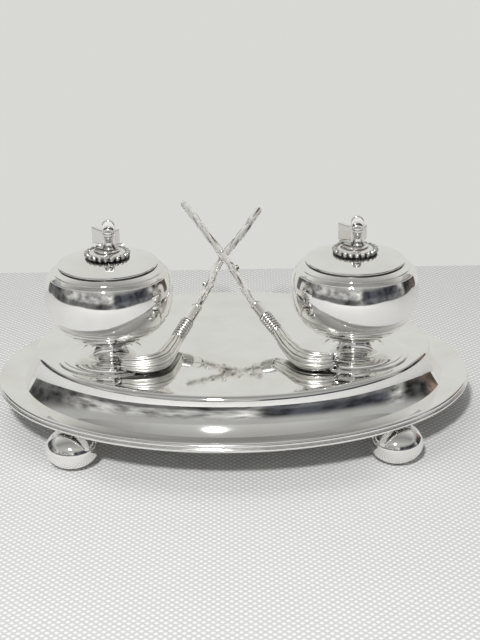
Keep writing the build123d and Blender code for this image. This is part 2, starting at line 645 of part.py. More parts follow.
def make_handle(bends, knot, front, head, side):
    """Twig handle with a swelling at each bend and a side stub, ending on its binding."""
    points = handle_spots(bends, front)
    body = Part()
    for a, b in zip(points, points[1:]):
        body += taper(a, b, HANDLE_RADIUS, HANDLE_RADIUS)
    for i, (before, point, after) in enumerate(zip(points, points[1:], points[2:]), start=1):
        radius = KNOT_RADIUS if i == knot else HANDLE_RADIUS + 0.12
        body += Plane(origin=point, z_dir=after - before) * Sphere(radius)
    tip = points[knot] + Vector(side * (KNOT_RADIUS + 1.0), 0, TWIG_STUB - 1.0)
    body += taper(points[knot], tip, HANDLE_RADIUS * 0.75, HANDLE_RADIUS * 0.5)
    last = points[-1]
    body += taper(last, last + (last - points[-2]).normalized() * 2, HANDLE_RADIUS, HANDLE_RADIUS)
    beyond = Plane(origin=last, z_dir=head_spots(head, side)[0] - last)
    return body - beyond * Pos(0, 0, 5) * Cylinder(8, 10)


def crossing():
    """Plane square to the sloping plane's surface at the point where the handles cross."""
    (x1, y1), (x2, y2) = RIGHT_HANDLE[2], RIGHT_HANDLE[3]
    (x3, y3), (x4, y4) = LEFT_HANDLE[2], LEFT_HANDLE[3]
    det = (x1 - x2) * (y3 - y4) - (y1 - y2) * (x3 - x4)
    first = x1 * y2 - y1 * x2
    second = x3 * y4 - y3 * x4
    x = (first * (x3 - x4) - (x1 - x2) * second) / det
    y = (first * (y3 - y4) - (y1 - y2) * second) / det
    return Plane(origin=lean_spot(x, y), z_dir=lean_normal())


def make_rivet():
    """Rivet through both handles with small domed heads."""
    reach = BROOM_PART + HANDLE_RADIUS
    body = Cylinder(RIVET_RADIUS, 2 * reach)
    for side in (-1, 1):
        beyond = Pos(0, 0, side * (reach + RIVET_HEAD)) * Box(9, 9, 2 * RIVET_HEAD)
        body += Pos(0, 0, side * reach) * Sphere(RIVET_HEAD) & beyond
    return crossing() * body


def make_binding(bends, head, side, front):
    """Cast sleeve and whipped binding between handle and head, with rounded turns."""
    start = handle_spots(bends, front)[-1]
    axis = head_spots(head, side)[0] - start
    length = axis.length
    sleeve = length - BINDING_LENGTH
    pitch = BINDING_LENGTH / BINDING_TURNS
    edges = [
        Line((0, 0), (SLEEVE_RADIUS - 0.5, 0)),
        Line((SLEEVE_RADIUS - 0.5, 0), (SLEEVE_RADIUS, 0.6)),
        Line((SLEEVE_RADIUS, 0.6), (BINDING_RADIUS - 0.35, sleeve)),
    ]
    valley = BINDING_RADIUS - 0.35
    for turn in range(BINDING_TURNS):
        low = sleeve + turn * pitch
        crest = (BINDING_RADIUS, low + pitch / 2)
        edges += [Line((valley, low), crest), Line(crest, (valley, low + pitch))]
    edges += [Line((BINDING_RADIUS - 0.35, length), (0, length)), Line((0, length), (0, 0))]
    return Plane(origin=start, z_dir=axis) * turned(*edges)


def head_planes(bends, head, side, front):
    """Planes across a head along its centre line, the first square to the binding."""
    points = head_spots(head, side)
    planes = []
    for i, point in enumerate(points):
        before = points[i - 1] if i else handle_spots(bends, front)[-1]
        after = points[min(i + 1, len(points) - 1)] if i else point
        along = (after - before).normalized()
        planes.append(Plane(origin=point, x_dir=Vector(0, 0, 1).cross(along), z_dir=along))
    return planes


def fluted(radius):
    """Outline with a ridge for each flute, for one section of a head."""
    points = []
    for i in range(2 * HEAD_FLUTES):
        angle = pi * i / HEAD_FLUTES
        reach = radius * (1 + FLUTE_DEPTH * (1 if i % 2 == 0 else -1))
        points.append((reach * cos(angle), reach * sin(angle)))
    return make_face(Polyline(*points, close=True))


def make_head(bends, head, side, front):
    """Fluted bristle head that curls out along the plateau, its slanted end slotted."""
    planes = head_planes(bends, head, side, front)
    body = loft([plane * fluted(radius) for plane, radius in zip(planes, HEAD_RADII)], ruled=True)
    tip = planes[-1]
    for i in range(END_SLOTS):
        turn = Rot(0, 0, 180 * (i + 0.5) / END_SLOTS)
        body -= tip * turn * Box(SLOT_WIDTH, 4 * HEAD_RADII[-1], 2 * SLOT_DEPTH)
    slant = Plane(origin=tip.origin - tip.z_dir * HEAD_RADII[-1], x_dir=(0, 1, 0), z_dir=tip.z_dir)
    body -= slant * Rot(side * END_SLANT, 0, 0) * Pos(0, 0, 20) * Box(60, 80, 40)
    floor = Pos(0, 0, PLATEAU_Z - 5) * Box(200, 160, 10)
    centre = screw_place(head, side)
    body = body + centre * seat_pad(head) - floor - centre * Cylinder(SCREW_RADIUS, 2 * SCREW_REACH)
    return body - Pos(side * WELL_X, WELL_Y, PLATEAU_Z) * pedestal_room()


def pedestal_room():
    """Space kept free round an inkwell's foot where a broom's head reaches over it."""
    edge = PEDESTAL_RADIUS + BROOM_ROOM
    step = PEDESTAL_RADIUS - PEDESTAL_STEP + BROOM_ROOM
    return turned(
        Line((0, -1), (edge, -1)),
        Line((edge, -1), (edge, PEDESTAL_EDGE + BROOM_ROOM)),
        Line((edge, PEDESTAL_EDGE + BROOM_ROOM), (step, PEDESTAL_EDGE + 0.5 + BROOM_ROOM)),
        Line((step, PEDESTAL_EDGE + 0.5 + BROOM_ROOM), (step - 4, PEDESTAL_SHOULDER + BROOM_ROOM)),
        Line((step - 4, PEDESTAL_SHOULDER + BROOM_ROOM), (0, PEDESTAL_SHOULDER + BROOM_ROOM)),
        Line((0, PEDESTAL_SHOULDER + BROOM_ROOM), (0, -1)),
    )


def seat_pad(head):
    """Low pad under a head where the screw from below pulls it onto the plateau."""
    return extrude(Circle(2.4), amount=head[2][2] - 1.5)


def make_screw():
    """Round-head screw from under the plateau into a broom's head."""
    head_top = -SHEET - WASHER_HEIGHT
    shank = Pos(0, 0, head_top) * extrude(Circle(SCREW_RADIUS), amount=SCREW_REACH - head_top)
    cap = Pos(0, 0, head_top - SCREW_HEAD_HEIGHT) * extrude(Circle(SCREW_HEAD / 2), amount=SCREW_HEAD_HEIGHT)
    return shank + fillet(cap.edges().group_by(Axis.Z)[0], 0.7)


# ================================================================ assembly
def build():
    """Every piece of the inkstand by node name, in place."""
    nodes = {}
    nodes["tray"] = make_tray()
    nodes["rim_border"] = make_rim_border()
    for row, y in (("front", -FOOT_Y), ("rear", FOOT_Y)):
        for name, x in (("left", -FOOT_X), ("right", FOOT_X)):
            nodes[f"foot_{row}_{name}"] = make_foot(x, y)
    well_pieces = {
        "pedestal": make_pedestal(),
        "bowl": make_bowl(),
        "collar": make_collar(),
        "glass_liner": make_liner(),
        "inkwell_bolt": make_bolt(),
        "inkwell_washer": make_washer(BOLT_RADIUS, BOLT_HEAD),
        "collar_knuckles": make_collar_knuckles(),
        "hinge_pin": make_hinge_pin(),
        "lid_knuckle": make_lid_knuckle(),
        "lid": make_lid(),
        "rosette": make_rosette(),
        "handle_disc": make_disc(),
        "handle_post": make_post(),
        "handle_ferrule": make_ferrule(),
        "handle_grip": make_grip(),
        "handle_brace": make_brace(),
        "handle_stud": make_stud_nut(),
    }
    for name, side in (("left", -1), ("right", 1)):
        place = Pos(side * WELL_X, WELL_Y, PLATEAU_Z)
        for piece, solid in well_pieces.items():
            nodes[f"{piece}_{name}"] = place * solid
    rivet = make_rivet()
    brooms = (("left", -1, LEFT_HANDLE, LEFT_KNOT, LEFT_HEAD, False),
              ("right", 1, RIGHT_HANDLE, RIGHT_KNOT, RIGHT_HEAD, True))
    for name, side, bends, knot, head, front in brooms:
        nodes[f"broom_handle_{name}"] = make_handle(bends, knot, front, head, side) - rivet
        nodes[f"broom_binding_{name}"] = make_binding(bends, head, side, front)
        nodes[f"broom_head_{name}"] = make_head(bends, head, side, front)
        place = screw_place(head, side)
        nodes[f"broom_screw_{name}"] = place * make_screw()
        nodes[f"broom_washer_{name}"] = place * make_washer(SCREW_RADIUS, SCREW_HEAD)
    nodes["crossing_rivet"] = rivet
    return nodes


os.makedirs("parts", exist_ok=True)
for node_name, node in build().items():
    export_step(node, f"parts/{node_name}.step")
    print(node_name, len(node.solids()), round(node.volume, 1))
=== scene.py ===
"""Looks of a silver desk inkstand with curling-stone inkwells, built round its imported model.

Lengths in this file are millimetres unless a name says otherwise; MM turns them into
Blender's metres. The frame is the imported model's own: the table is z = 0, +X runs along
the tray to the right and -Y is the front.
"""

import logging
import math
from dataclasses import dataclass, field
from enum import Enum
from typing import Callable, Sequence

import bpy
from mathutils import Euler, Matrix, Vector


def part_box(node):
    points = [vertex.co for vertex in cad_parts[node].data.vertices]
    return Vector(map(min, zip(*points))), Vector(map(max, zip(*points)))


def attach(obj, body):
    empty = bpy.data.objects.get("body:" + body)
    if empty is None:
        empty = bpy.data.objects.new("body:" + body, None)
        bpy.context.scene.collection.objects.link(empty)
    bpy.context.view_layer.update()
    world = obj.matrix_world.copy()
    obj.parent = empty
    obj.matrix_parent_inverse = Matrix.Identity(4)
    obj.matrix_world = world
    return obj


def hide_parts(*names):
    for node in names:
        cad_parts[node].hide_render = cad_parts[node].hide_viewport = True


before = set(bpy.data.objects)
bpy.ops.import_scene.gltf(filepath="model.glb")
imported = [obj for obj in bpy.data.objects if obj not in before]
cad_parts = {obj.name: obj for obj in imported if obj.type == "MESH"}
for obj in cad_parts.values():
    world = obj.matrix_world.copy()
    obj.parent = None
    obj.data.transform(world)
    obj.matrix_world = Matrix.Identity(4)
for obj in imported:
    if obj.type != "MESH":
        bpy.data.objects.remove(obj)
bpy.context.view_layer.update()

LOG = logging.getLogger("inkstand")
MM = 0.001
FULL_TURN = 2 * math.pi
CREASE = math.radians(32)

Point = tuple[float, float]
Colour = tuple[float, float, float]


class Body(Enum):
    """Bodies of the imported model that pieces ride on."""

    STAND = "stand"
    LID_LEFT = "lid_left_body"
    LID_RIGHT = "lid_right_body"


class Side(Enum):
    """Left and right halves of the inkstand, as signs along X."""

    LEFT = -1
    RIGHT = 1

    @property
    def word(self) -> str:
        """Name of the side as the nodes spell it."""
        return self.name.lower()

    @property
    def lid_body(self) -> Body:
        """Body of this side's lid."""
        return Body.LID_LEFT if self is Side.LEFT else Body.LID_RIGHT


# ---------------------------------------------------------------- modelling helpers
def centre_of(node: str) -> Vector:
    """Middle of a node's box in millimetres."""
    low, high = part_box(node)
    return (Vector(low) + Vector(high)) / (2 * MM)


def top_of(node: str) -> float:
    """Highest level of a node in millimetres."""
    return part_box(node)[1][2] / MM


def arc(centre: Point, radius: float, start: float, end: float, steps: int) -> list[Point]:
    """Points along an arc of a half section.

    Args:
        centre: radius and height of the arc's centre.
        radius: radius of the arc.
        start: first angle in degrees, from +X upwards.
        end: last angle in degrees.
        steps: number of pieces.

    Returns:
        The steps + 1 points as (radius, height).
    """
    turns = [math.radians(start + (end - start) * i / steps) for i in range(steps + 1)]
    return [(centre[0] + radius * math.cos(t), centre[1] + radius * math.sin(t)) for t in turns]


def edit_new(name: str, add: Callable[[], object]) -> bpy.types.Object:
    """Adds a primitive as a new object and enters edit mode with all of it selected.

    Args:
        name: name of the new object.
        add: call that adds the primitive.

    Returns:
        The new object.
    """
    bpy.ops.object.select_all(action="DESELECT")
    add()
    made = bpy.context.object
    made.name = name
    made.data.name = name
    bpy.ops.object.mode_set(mode="EDIT")
    bpy.ops.mesh.select_all(action="SELECT")
    return made


def finish_mesh(made: bpy.types.Object, crease: float = CREASE) -> bpy.types.Object:
    """Merges doubles, turns the normals outwards, leaves edit mode and shades the piece.

    Args:
        made: the object in edit mode.
        crease: angle in radians above which an edge stays sharp.

    Returns:
        The same object.
    """
    bpy.ops.mesh.select_all(action="SELECT")
    bpy.ops.mesh.remove_doubles(threshold=1e-6)
    bpy.ops.mesh.normals_make_consistent(inside=False)
    bpy.ops.object.mode_set(mode="OBJECT")
    bpy.ops.object.select_all(action="DESELECT")
    made.select_set(True)
    bpy.context.view_layer.objects.active = made
    bpy.ops.object.transform_apply(location=True, rotation=True, scale=True)
    bpy.ops.object.shade_smooth_by_angle(angle=crease)
    return made


def spun(name: str, profile: Sequence[Point], axis: Vector, steps: int = 128) -> bpy.types.Object:
    """Turns a half section round an upright axis.

    Args:
        name: name of the new object.
        profile: points of the section as (radius, height).
        axis: foot of the axis; its height is added to the profile's.
        steps: number of steps round the axis.

    Returns:
        The closed, shaded piece.
    """
    points = [Vector((axis.x + r, axis.y, axis.z + z)) * MM for r, z in profile]
    made = edit_new(name, lambda: bpy.ops.mesh.primitive_circle_add(vertices=3, radius=MM, location=points[0]))
    bpy.ops.mesh.merge(type="CENTER")
    for last, place in zip(points, points[1:]):
        bpy.ops.mesh.extrude_vertices_move(TRANSFORM_OT_translate={"value": place - last})
    bpy.ops.mesh.select_all(action="SELECT")
    foot = Vector((axis.x, axis.y, 0)) * MM
    bpy.ops.mesh.spin(steps=steps, angle=FULL_TURN, center=foot, axis=(0, 0, 1), use_auto_merge=True)
    return finish_mesh(made)


def oval_form(name: str, rings: Sequence[tuple[float, float, float]], steps: int, closed: bool) -> bpy.types.Object:
    """Stacks ovals round the tray's axis, each drawn out of the last.

    Args:
        name: name of the new object.
        rings: half length, half depth and height of each oval.
        steps: number of points round each oval.
        closed: joins the last oval to the first; otherwise both are capped.

    Returns:
        The closed, shaded piece.
    """
    first = rings[0]
    made = edit_new(name, lambda: bpy.ops.mesh.primitive_circle_add(vertices=steps, radius=MM, location=(0, 0, 0)))
    bpy.ops.transform.resize(value=(first[0], first[1], 1))
    bpy.ops.transform.translate(value=(0, 0, first[2] * MM))
    if not closed:
        bpy.ops.mesh.edge_face_add()
        bpy.ops.mesh.select_mode(type="EDGE")
    for last, ring in zip(rings, rings[1:]):
        bpy.ops.mesh.extrude_edges_move(TRANSFORM_OT_translate={"value": (0, 0, (ring[2] - last[2]) * MM)})
        bpy.ops.transform.resize(value=(ring[0] / last[0], ring[1] / last[1], 1), center_override=(0, 0, ring[2] * MM))
    if closed:
        bpy.ops.mesh.select_mode(type="EDGE")
        bpy.ops.mesh.select_all(action="DESELECT")
        bpy.ops.mesh.select_non_manifold()
        bpy.ops.mesh.bridge_edge_loops()
    else:
        bpy.ops.mesh.edge_face_add()
    bpy.ops.mesh.select_mode(type="VERT")
    return finish_mesh(made)


def settle(piece: bpy.types.Object, body: Body, slot: str, finish: bpy.types.Material, *nodes: str) -> None:
    """Gives a new piece its body and material and hides the nodes that it stands for.

    Args:
        piece: the finished piece.
        body: the body it rides on.
        slot: the material slot's name; not used.
        finish: its Blender material.
        nodes: the CAD nodes it replaces.
    """
    piece.data.materials.clear()
    piece.data.materials.append(finish)
    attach(piece, body.value)
    if nodes:
        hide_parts(*nodes)
    LOG.info("%s: %d faces", piece.name, len(piece.data.polygons))


def dress(node: str, finish: bpy.types.Material) -> None:
    """Puts a material on a CAD node that stays in view."""
    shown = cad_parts[node]
    for slot in shown.material_slots:
        slot.link = "OBJECT"
        slot.material = finish


# ---------------------------------------------------------------- finishes
def fill_ramp(band: bpy.types.ColorRamp, stops: Sequence[tuple[float, Colour]]) -> None:
    """Sets a colour ramp's stops."""
    band.elements[0].position, band.elements[1].position = stops[0][0], stops[-1][0]
    band.elements[0].color, band.elements[1].color = (*stops[0][1], 1), (*stops[-1][1], 1)
    for place, colour in stops[1:-1]:
        band.elements.new(place).color = (*colour, 1)


class NodeSheet:
    """Short way to lay out a material's nodes."""

    def __init__(self, name: str) -> None:
        """Makes an empty material with a Principled shader."""
        self.material = bpy.data.materials.new(name)
        self.material.use_nodes = True
        self.tree = self.material.node_tree
        self.shader = self.tree.nodes["Principled BSDF"]
        self.coords = self.add("ShaderNodeTexCoord").outputs["Object"]

    def add(self, kind: str, **values: object) -> bpy.types.Node:
        """Adds a node; values name its sockets (with _ for spaces) or its properties."""
        node = self.tree.nodes.new(kind)
        for key, value in values.items():
            label = key.replace("_", " ")
            if label in node.inputs:
                node.inputs[label].default_value = value
            else:
                setattr(node, key, value)
        return node

    def link(self, source: bpy.types.NodeSocket, target: bpy.types.NodeSocket) -> None:
        """Joins two sockets."""
        self.tree.links.new(source, target)

    def stretched(self, scale: Sequence[float], turn: Sequence[float] = (0, 0, 0)) -> bpy.types.NodeSocket:
        """Object coordinates with their own scale and turn."""
        mapping = self.add("ShaderNodeMapping")
        mapping.inputs["Scale"].default_value = scale
        mapping.inputs["Rotation"].default_value = turn
        self.link(self.coords, mapping.inputs["Vector"])
        return mapping.outputs["Vector"]

    def noise(self, scale: float, detail: float, vector: bpy.types.NodeSocket | None = None) -> bpy.types.NodeSocket:
        """Noise value over the object's coordinates or a mapped copy of them."""
        node = self.add("ShaderNodeTexNoise", Scale=scale, Detail=detail)
        self.link(vector or self.coords, node.inputs["Vector"])
        return node.outputs["Fac"]

    def ramp(self, source: bpy.types.NodeSocket, stops: Sequence[tuple[float, Colour]]) -> bpy.types.NodeSocket:
        """Colour ramp through the given stops."""
        node = self.add("ShaderNodeValToRGB")
        fill_ramp(node.color_ramp, stops)
        self.link(source, node.inputs["Fac"])
        return node.outputs["Color"]

    def spread(self, source: bpy.types.NodeSocket, low: float, high: float) -> bpy.types.NodeSocket:
        """Value from 0..1 spread between two limits."""
        node = self.add("ShaderNodeMapRange")
        node.inputs["To Min"].default_value = low
        node.inputs["To Max"].default_value = high
        self.link(source, node.inputs["Value"])
        return node.outputs["Result"]

    def bump(self, height: bpy.types.NodeSocket, strength: float, distance: float,
             under: bpy.types.NodeSocket | None = None) -> bpy.types.NodeSocket:
        """Bump from a height, on top of another normal if one is given."""
        node = self.add("ShaderNodeBump", Strength=strength, Distance=distance)
        self.link(height, node.inputs["Height"])
        if under is not None:
            self.link(under, node.inputs["Normal"])
        return node.outputs["Normal"]


@dataclass(frozen=True)
class Silver:
    """Polished silver plate with fine rubbing marks, soft smears, a little tarnish and painted shade in the hollows.

    Attributes:
        name: material name.
        bright: colour of clean plate.
        dull: colour where a trace of tarnish is left.
        gloss: roughness of the cleanest places.
        smear: roughness of the most handled places.
        hammer: height in millimetres of the slow unevenness of the sheet.
        scratch: strength of the fine rubbing marks.
        painted_hollow_shade: how dark the painted shade in the hollows is, 0 for none.
    """

    name: str
    bright: Colour = (0.93, 0.925, 0.91)
    dull: Colour = (0.86, 0.85, 0.82)
    gloss: float = 0.03
    smear: float = 0.07
    hammer: float = 0.004
    scratch: float = 0.02
    painted_hollow_shade: float = 0.0

    def make(self) -> bpy.types.Material:
        """Builds the material."""
        sheet = NodeSheet(self.name)
        shader = sheet.shader
        shader.inputs["Metallic"].default_value = 1.0
        cloud = sheet.noise(38, 4)
        colour = sheet.ramp(cloud, [(0.42, self.bright), (0.72, self.dull)])
        if self.painted_hollow_shade:
            # Painted shade: ambient occlusion darkens the colour in hollows and creases, as strongly as recess asks.
            shade = sheet.add("ShaderNodeAmbientOcclusion", samples=8)
            shade.inputs["Distance"].default_value = 0.004
            blend = sheet.add("ShaderNodeMix", data_type="RGBA", blend_type="MULTIPLY")
            deep = 1 - self.painted_hollow_shade
            dark = sheet.ramp(shade.outputs["AO"], [(0.35, (deep, deep * 0.96, deep * 0.9)), (0.9, (1, 1, 1))])
            blend.inputs["Factor"].default_value = 1.0
            sheet.link(colour, blend.inputs["A"])
            sheet.link(dark, blend.inputs["B"])
            colour = blend.outputs["Result"]
        sheet.link(colour, shader.inputs["Base Color"])
        sheet.link(sheet.spread(sheet.noise(90, 6), self.gloss, self.smear), shader.inputs["Roughness"])
        rub = sheet.noise(900, 3, sheet.stretched((1, 0.06, 0.4), (0.2, 0.5, 0.9)))
        rub_across = sheet.noise(1100, 3, sheet.stretched((0.05, 1, 0.5), (0.7, 0.1, 0.3)))
        normal = sheet.bump(rub, self.scratch, 0.00002)
        normal = sheet.bump(rub_across, self.scratch, 0.00002, normal)
        normal = sheet.bump(sheet.noise(28, 2), 1.0, self.hammer * MM, normal)
        sheet.link(normal, shader.inputs["Normal"])
        return sheet.material


@dataclass(frozen=True)
class Bark:
    """Cast silver twigs and bristles: creamy satin crests, dark tarnish in fine broken lines, painted shade in the
    hollows.

    Attributes:
        name: material name.
        along: direction of the twig.
        crest: colour of the rubbed crests.
        line: colour of the tarnish in the lines.
        grain: number of bark lines to a metre across the twig.
    """

    name: str
    along: tuple[float, float, float]
    crest: Colour = (0.97, 0.96, 0.92)
    # line: colour of the tarnish in the lines, also used for the painted shade in the hollows.
    line: Colour = (0.16, 0.145, 0.115)
    grain: float = 620

    def make(self) -> bpy.types.Material:
        """Builds the material."""
        sheet = NodeSheet(self.name)
        shader = sheet.shader
        shader.inputs["Metallic"].default_value = 0.8
        laid = sheet.add("ShaderNodeMapping", vector_type="TEXTURE")
        laid.inputs["Rotation"].default_value = Vector(self.along).to_track_quat("Z", "Y").to_euler()
        laid.inputs["Scale"].default_value = (1, 1, 8)
        sheet.link(sheet.coords, laid.inputs["Vector"])
        lines = sheet.noise(self.grain, 3, laid.outputs["Vector"])
        colour = sheet.ramp(lines, [(0.36, self.line), (0.46, self.crest)])
        # Painted shade: ambient occlusion darkens the hollows towards the tarnish colour.
        shade = sheet.add("ShaderNodeAmbientOcclusion", samples=8)
        shade.inputs["Distance"].default_value = 0.0012
        dark = sheet.ramp(shade.outputs["AO"], [(0.22, self.line), (0.60, (1, 1, 1))])
        blend = sheet.add("ShaderNodeMix", data_type="RGBA", blend_type="MULTIPLY")
        blend.inputs["Factor"].default_value = 1.0
        sheet.link(colour, blend.inputs["A"])
        sheet.link(dark, blend.inputs["B"])
        sheet.link(blend.outputs["Result"], shader.inputs["Base Color"])
        sheet.link(sheet.spread(lines, 0.42, 0.16), shader.inputs["Roughness"])
        sheet.link(sheet.bump(lines, 1.0, 0.0009), shader.inputs["Normal"])
        return sheet.material


@dataclass(frozen=True)
class Steel:
    """Turned steel of the hidden fixings, with fine tool rings and oil stains."""

    name: str = "turned_steel"

    def make(self) -> bpy.types.Material:
        """Builds the material."""
        sheet = NodeSheet(self.name)
        shader = sheet.shader
        shader.inputs["Metallic"].default_value = 1.0
        stain = sheet.noise(260, 5)
        sheet.link(sheet.ramp(stain, [(0.35, (0.50, 0.48, 0.44)), (0.65, (0.66, 0.65, 0.63))]), shader.inputs["Base Color"])
        sheet.link(sheet.spread(stain, 0.2, 0.42), shader.inputs["Roughness"])
        sheet.link(sheet.bump(sheet.noise(2400, 2, sheet.stretched((0.1, 0.1, 1))), 0.2, 0.00002), shader.inputs["Normal"])
        return sheet.material


@dataclass(frozen=True)
class InkGlass:
    """Clear pressed glass of the ink cups, with faint ripples."""

    name: str = "pressed_glass"

    def make(self) -> bpy.types.Material:
        """Builds the material."""
        sheet = NodeSheet(self.name)
        shader = sheet.shader
        shader.inputs["Transmission Weight"].default_value = 1.0
        shader.inputs["IOR"].default_value = 1.5
        haze = sheet.noise(120, 3)
        sheet.link(sheet.ramp(haze, [(0.3, (0.95, 0.98, 0.97)), (0.7, (0.90, 0.95, 0.94))]), shader.inputs["Base Color"])
        sheet.link(sheet.spread(haze, 0.0, 0.05), shader.inputs["Roughness"])
        sheet.link(sheet.bump(sheet.noise(60, 2), 0.3, 0.0001), shader.inputs["Normal"])
        return sheet.material


@dataclass(frozen=True)
class TableCloth:
    """White woven table cloth: crossing threads and slow creases.

    Attributes:
        name: material name.
        thread: distance between threads in metres.
    """

    name: str = "woven_cloth"
    thread: float = 0.0016

    def make(self) -> bpy.types.Material:
        """Builds the material."""
        sheet = NodeSheet(self.name)
        shader = sheet.shader
        turns = 1.0 / self.thread
        warp = sheet.add("ShaderNodeTexWave", bands_direction="X", Scale=turns / 2, Distortion=0.6)
        weft = sheet.add("ShaderNodeTexWave", bands_direction="Y", Scale=turns / 2, Distortion=0.6)
        turned = sheet.stretched((0.32, 0.32, 0.32), (0, 0, math.radians(45)))
        sheet.link(turned, warp.inputs["Vector"])
        sheet.link(turned, weft.inputs["Vector"])
        weave = sheet.add("ShaderNodeMath", operation="MULTIPLY")
        sheet.link(warp.outputs["Fac"], weave.inputs[0])
        sheet.link(weft.outputs["Fac"], weave.inputs[1])
        sheet.link(sheet.ramp(weave.outputs[0], [(0.0, (0.62, 0.62, 0.61)), (0.6, (0.90, 0.90, 0.895))]),
                   shader.inputs["Base Color"])
        shader.inputs["Roughness"].default_value = 0.85
        shader.inputs["Specular IOR Level"].default_value = 0.2
        normal = sheet.bump(weave.outputs[0], 0.5, 0.0003)
        normal = sheet.bump(sheet.noise(3, 2), 0.5, 0.01, normal)
        sheet.link(normal, shader.inputs["Normal"])
        return sheet.material


# ---------------------------------------------------------------- tray, border and feet
@dataclass
class Tray:
    """Oval tray, its reeded border and its four ball feet.

    Attributes:
        half_length: half the length over the border.
        half_depth: half the depth over the border.
        top: level of the plateau.
        sheet: thickness of the tray's sheet.
        flange: width from the border's outside to the foot of the slope.
        run: how far the slope leans in.
        rise: height of the plateau over the foot of its slope.
        dish: rise of the flange from there to the border.
        power: hollowness of the slope.
        rounding: rounding of the plateau's edge.
        edge: inset of the sheet's own edge.
        lip: width of the flat under the border.
        steps: points round each oval.
    """

    half_length: float = field(default_factory=lambda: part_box("rim_border")[1][0] / MM)
    half_depth: float = field(default_factory=lambda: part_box("rim_border")[1][1] / MM)
    top: float = field(default_factory=lambda: top_of("tray"))
    sheet: float = 1.2
    flange: float = 16.3
    run: float = 8.2
    rise: float = 20.9
    dish: float = 2.6
    power: float = 2.2
    rounding: float = 3.4
    edge: float = 2.45
    lip: float = 2.2
    steps: int = 256

    @property
    def foot(self) -> float:
        """Level of the foot of the slope."""
        return self.top - self.rise

    @property
    def rim(self) -> float:
        """Level of the flange at the border."""
        return self.foot + self.dish

    def oval(self, inset: float, z: float) -> tuple[float, float, float]:
        """Half length, half depth and height of an oval drawn in from the border."""
        return (self.half_length - inset, self.half_depth - inset, z)

    def slope(self, extra: float, top: float, foot: float, rounding: float) -> list[tuple[float, float, float]]:
        """Ovals of the plateau's rounded edge and hollow side, from the top down.

        Args:
            extra: how far the side is drawn in.
            top: level of the plateau's face.
            foot: level of the slope's foot.
            rounding: radius of the rounded edge.

        Returns:
            The ovals, from the plateau's flat to the foot of the slope.
        """
        straight = 1 - rounding / (top - foot)
        at_edge = self.flange + self.run * (1 - (1 - straight) ** self.power) + extra
        ovals = [self.oval(at_edge + rounding + 2.0, top)]
        for i in range(13):
            lean = math.radians(90 - 7.5 * i)
            inset = at_edge + rounding * (1 - math.cos(lean))
            ovals.append(self.oval(inset, top - rounding * (1 - math.sin(lean))))
        side_steps = 26
        for i in range(1, side_steps + 1):
            share = straight * (1 - i / side_steps)
            inset = self.flange + self.run * (1 - (1 - share) ** self.power) + extra
            ovals.append(self.oval(inset, foot + share * (top - foot)))
        return ovals

    def build_plate(self, finish: bpy.types.Material) -> None:
        """Models the sheet tray, above and below."""
        flat = self.edge + self.lip
        rings = self.slope(0, self.top, self.foot, self.rounding)
        rings += [self.oval(flat, self.rim), self.oval(self.edge, self.rim)]
        rings += [self.oval(self.edge, self.rim - self.sheet), self.oval(flat, self.rim - self.sheet)]
        under = self.slope(self.sheet, self.top - self.sheet, self.foot - self.sheet, self.rounding - self.sheet)
        rings += [self.oval(self.flange, self.foot - self.sheet)] + under[::-1]
        plate = oval_form("tray_plate", rings, self.steps, closed=False)
        settle(plate, Body.STAND, "tray_silver", finish, "tray")

    def build_border(self, finish: bpy.types.Material) -> None:
        """Models the reeded border: two beads with a fine thread between them."""
        upper, lower, pitch = 1.55, 1.35, 2.15
        level = self.rim - 1.1
        rings = [self.oval(lower - lower * math.cos(math.radians(a)), level - pitch + lower * math.sin(math.radians(a)))
                 for a in range(-150, 41, 10)]
        thread = 0.35
        rings += [self.oval(0.95 - thread * math.cos(math.radians(a)), level - 0.98 + thread * math.sin(math.radians(a)))
                  for a in range(-40, 61, 25)]
        rings += [self.oval(self.edge - upper * math.cos(math.radians(a)), level + upper * math.sin(math.radians(a)))
                  for a in range(-20, 161, 10)]
        rings.append(self.oval(self.edge + self.lip, self.rim - self.sheet))
        rings.append(self.oval(self.edge + self.lip, self.rim - 2 * self.sheet))
        border = oval_form("reeded_border", rings, self.steps, closed=True)
        settle(border, Body.STAND, "rim_silver", finish, "rim_border")

    def build_feet(self, finish: bpy.types.Material) -> None:
        """Models the four flattened balls with their short necks."""
        half, radius, flat, neck = 11.7, 15.5, 0.35, 4.8
        for row in ("front", "rear"):
            for side in Side:
                node = f"foot_{row}_{side.word}"
                spot = centre_of(node)
                centre = half - flat
                low = math.degrees(math.asin(-centre / half))
                high = math.degrees(math.acos(neck / radius))
                profile = [(0.0, 0.0)]
                for i in range(49):
                    turn = math.radians(low + (high - low) * i / 48)
                    profile.append((radius * math.cos(turn), centre + half * math.sin(turn)))
                profile += [(neck, top_of(node) - 0.7), (0.0, top_of(node) - 0.7)]
                ball = spun(f"ball_foot_{row}_{side.word}", profile, Vector((spot.x, spot.y, 0)), 96)
                settle(ball, Body.STAND, "foot_silver", finish, node)

    def build(self, finishes: dict[str, bpy.types.Material]) -> None:
        """Builds tray, border and feet."""
        self.build_plate(finishes["tray"])
        self.build_border(finishes["border"])
        self.build_feet(finishes["foot"])


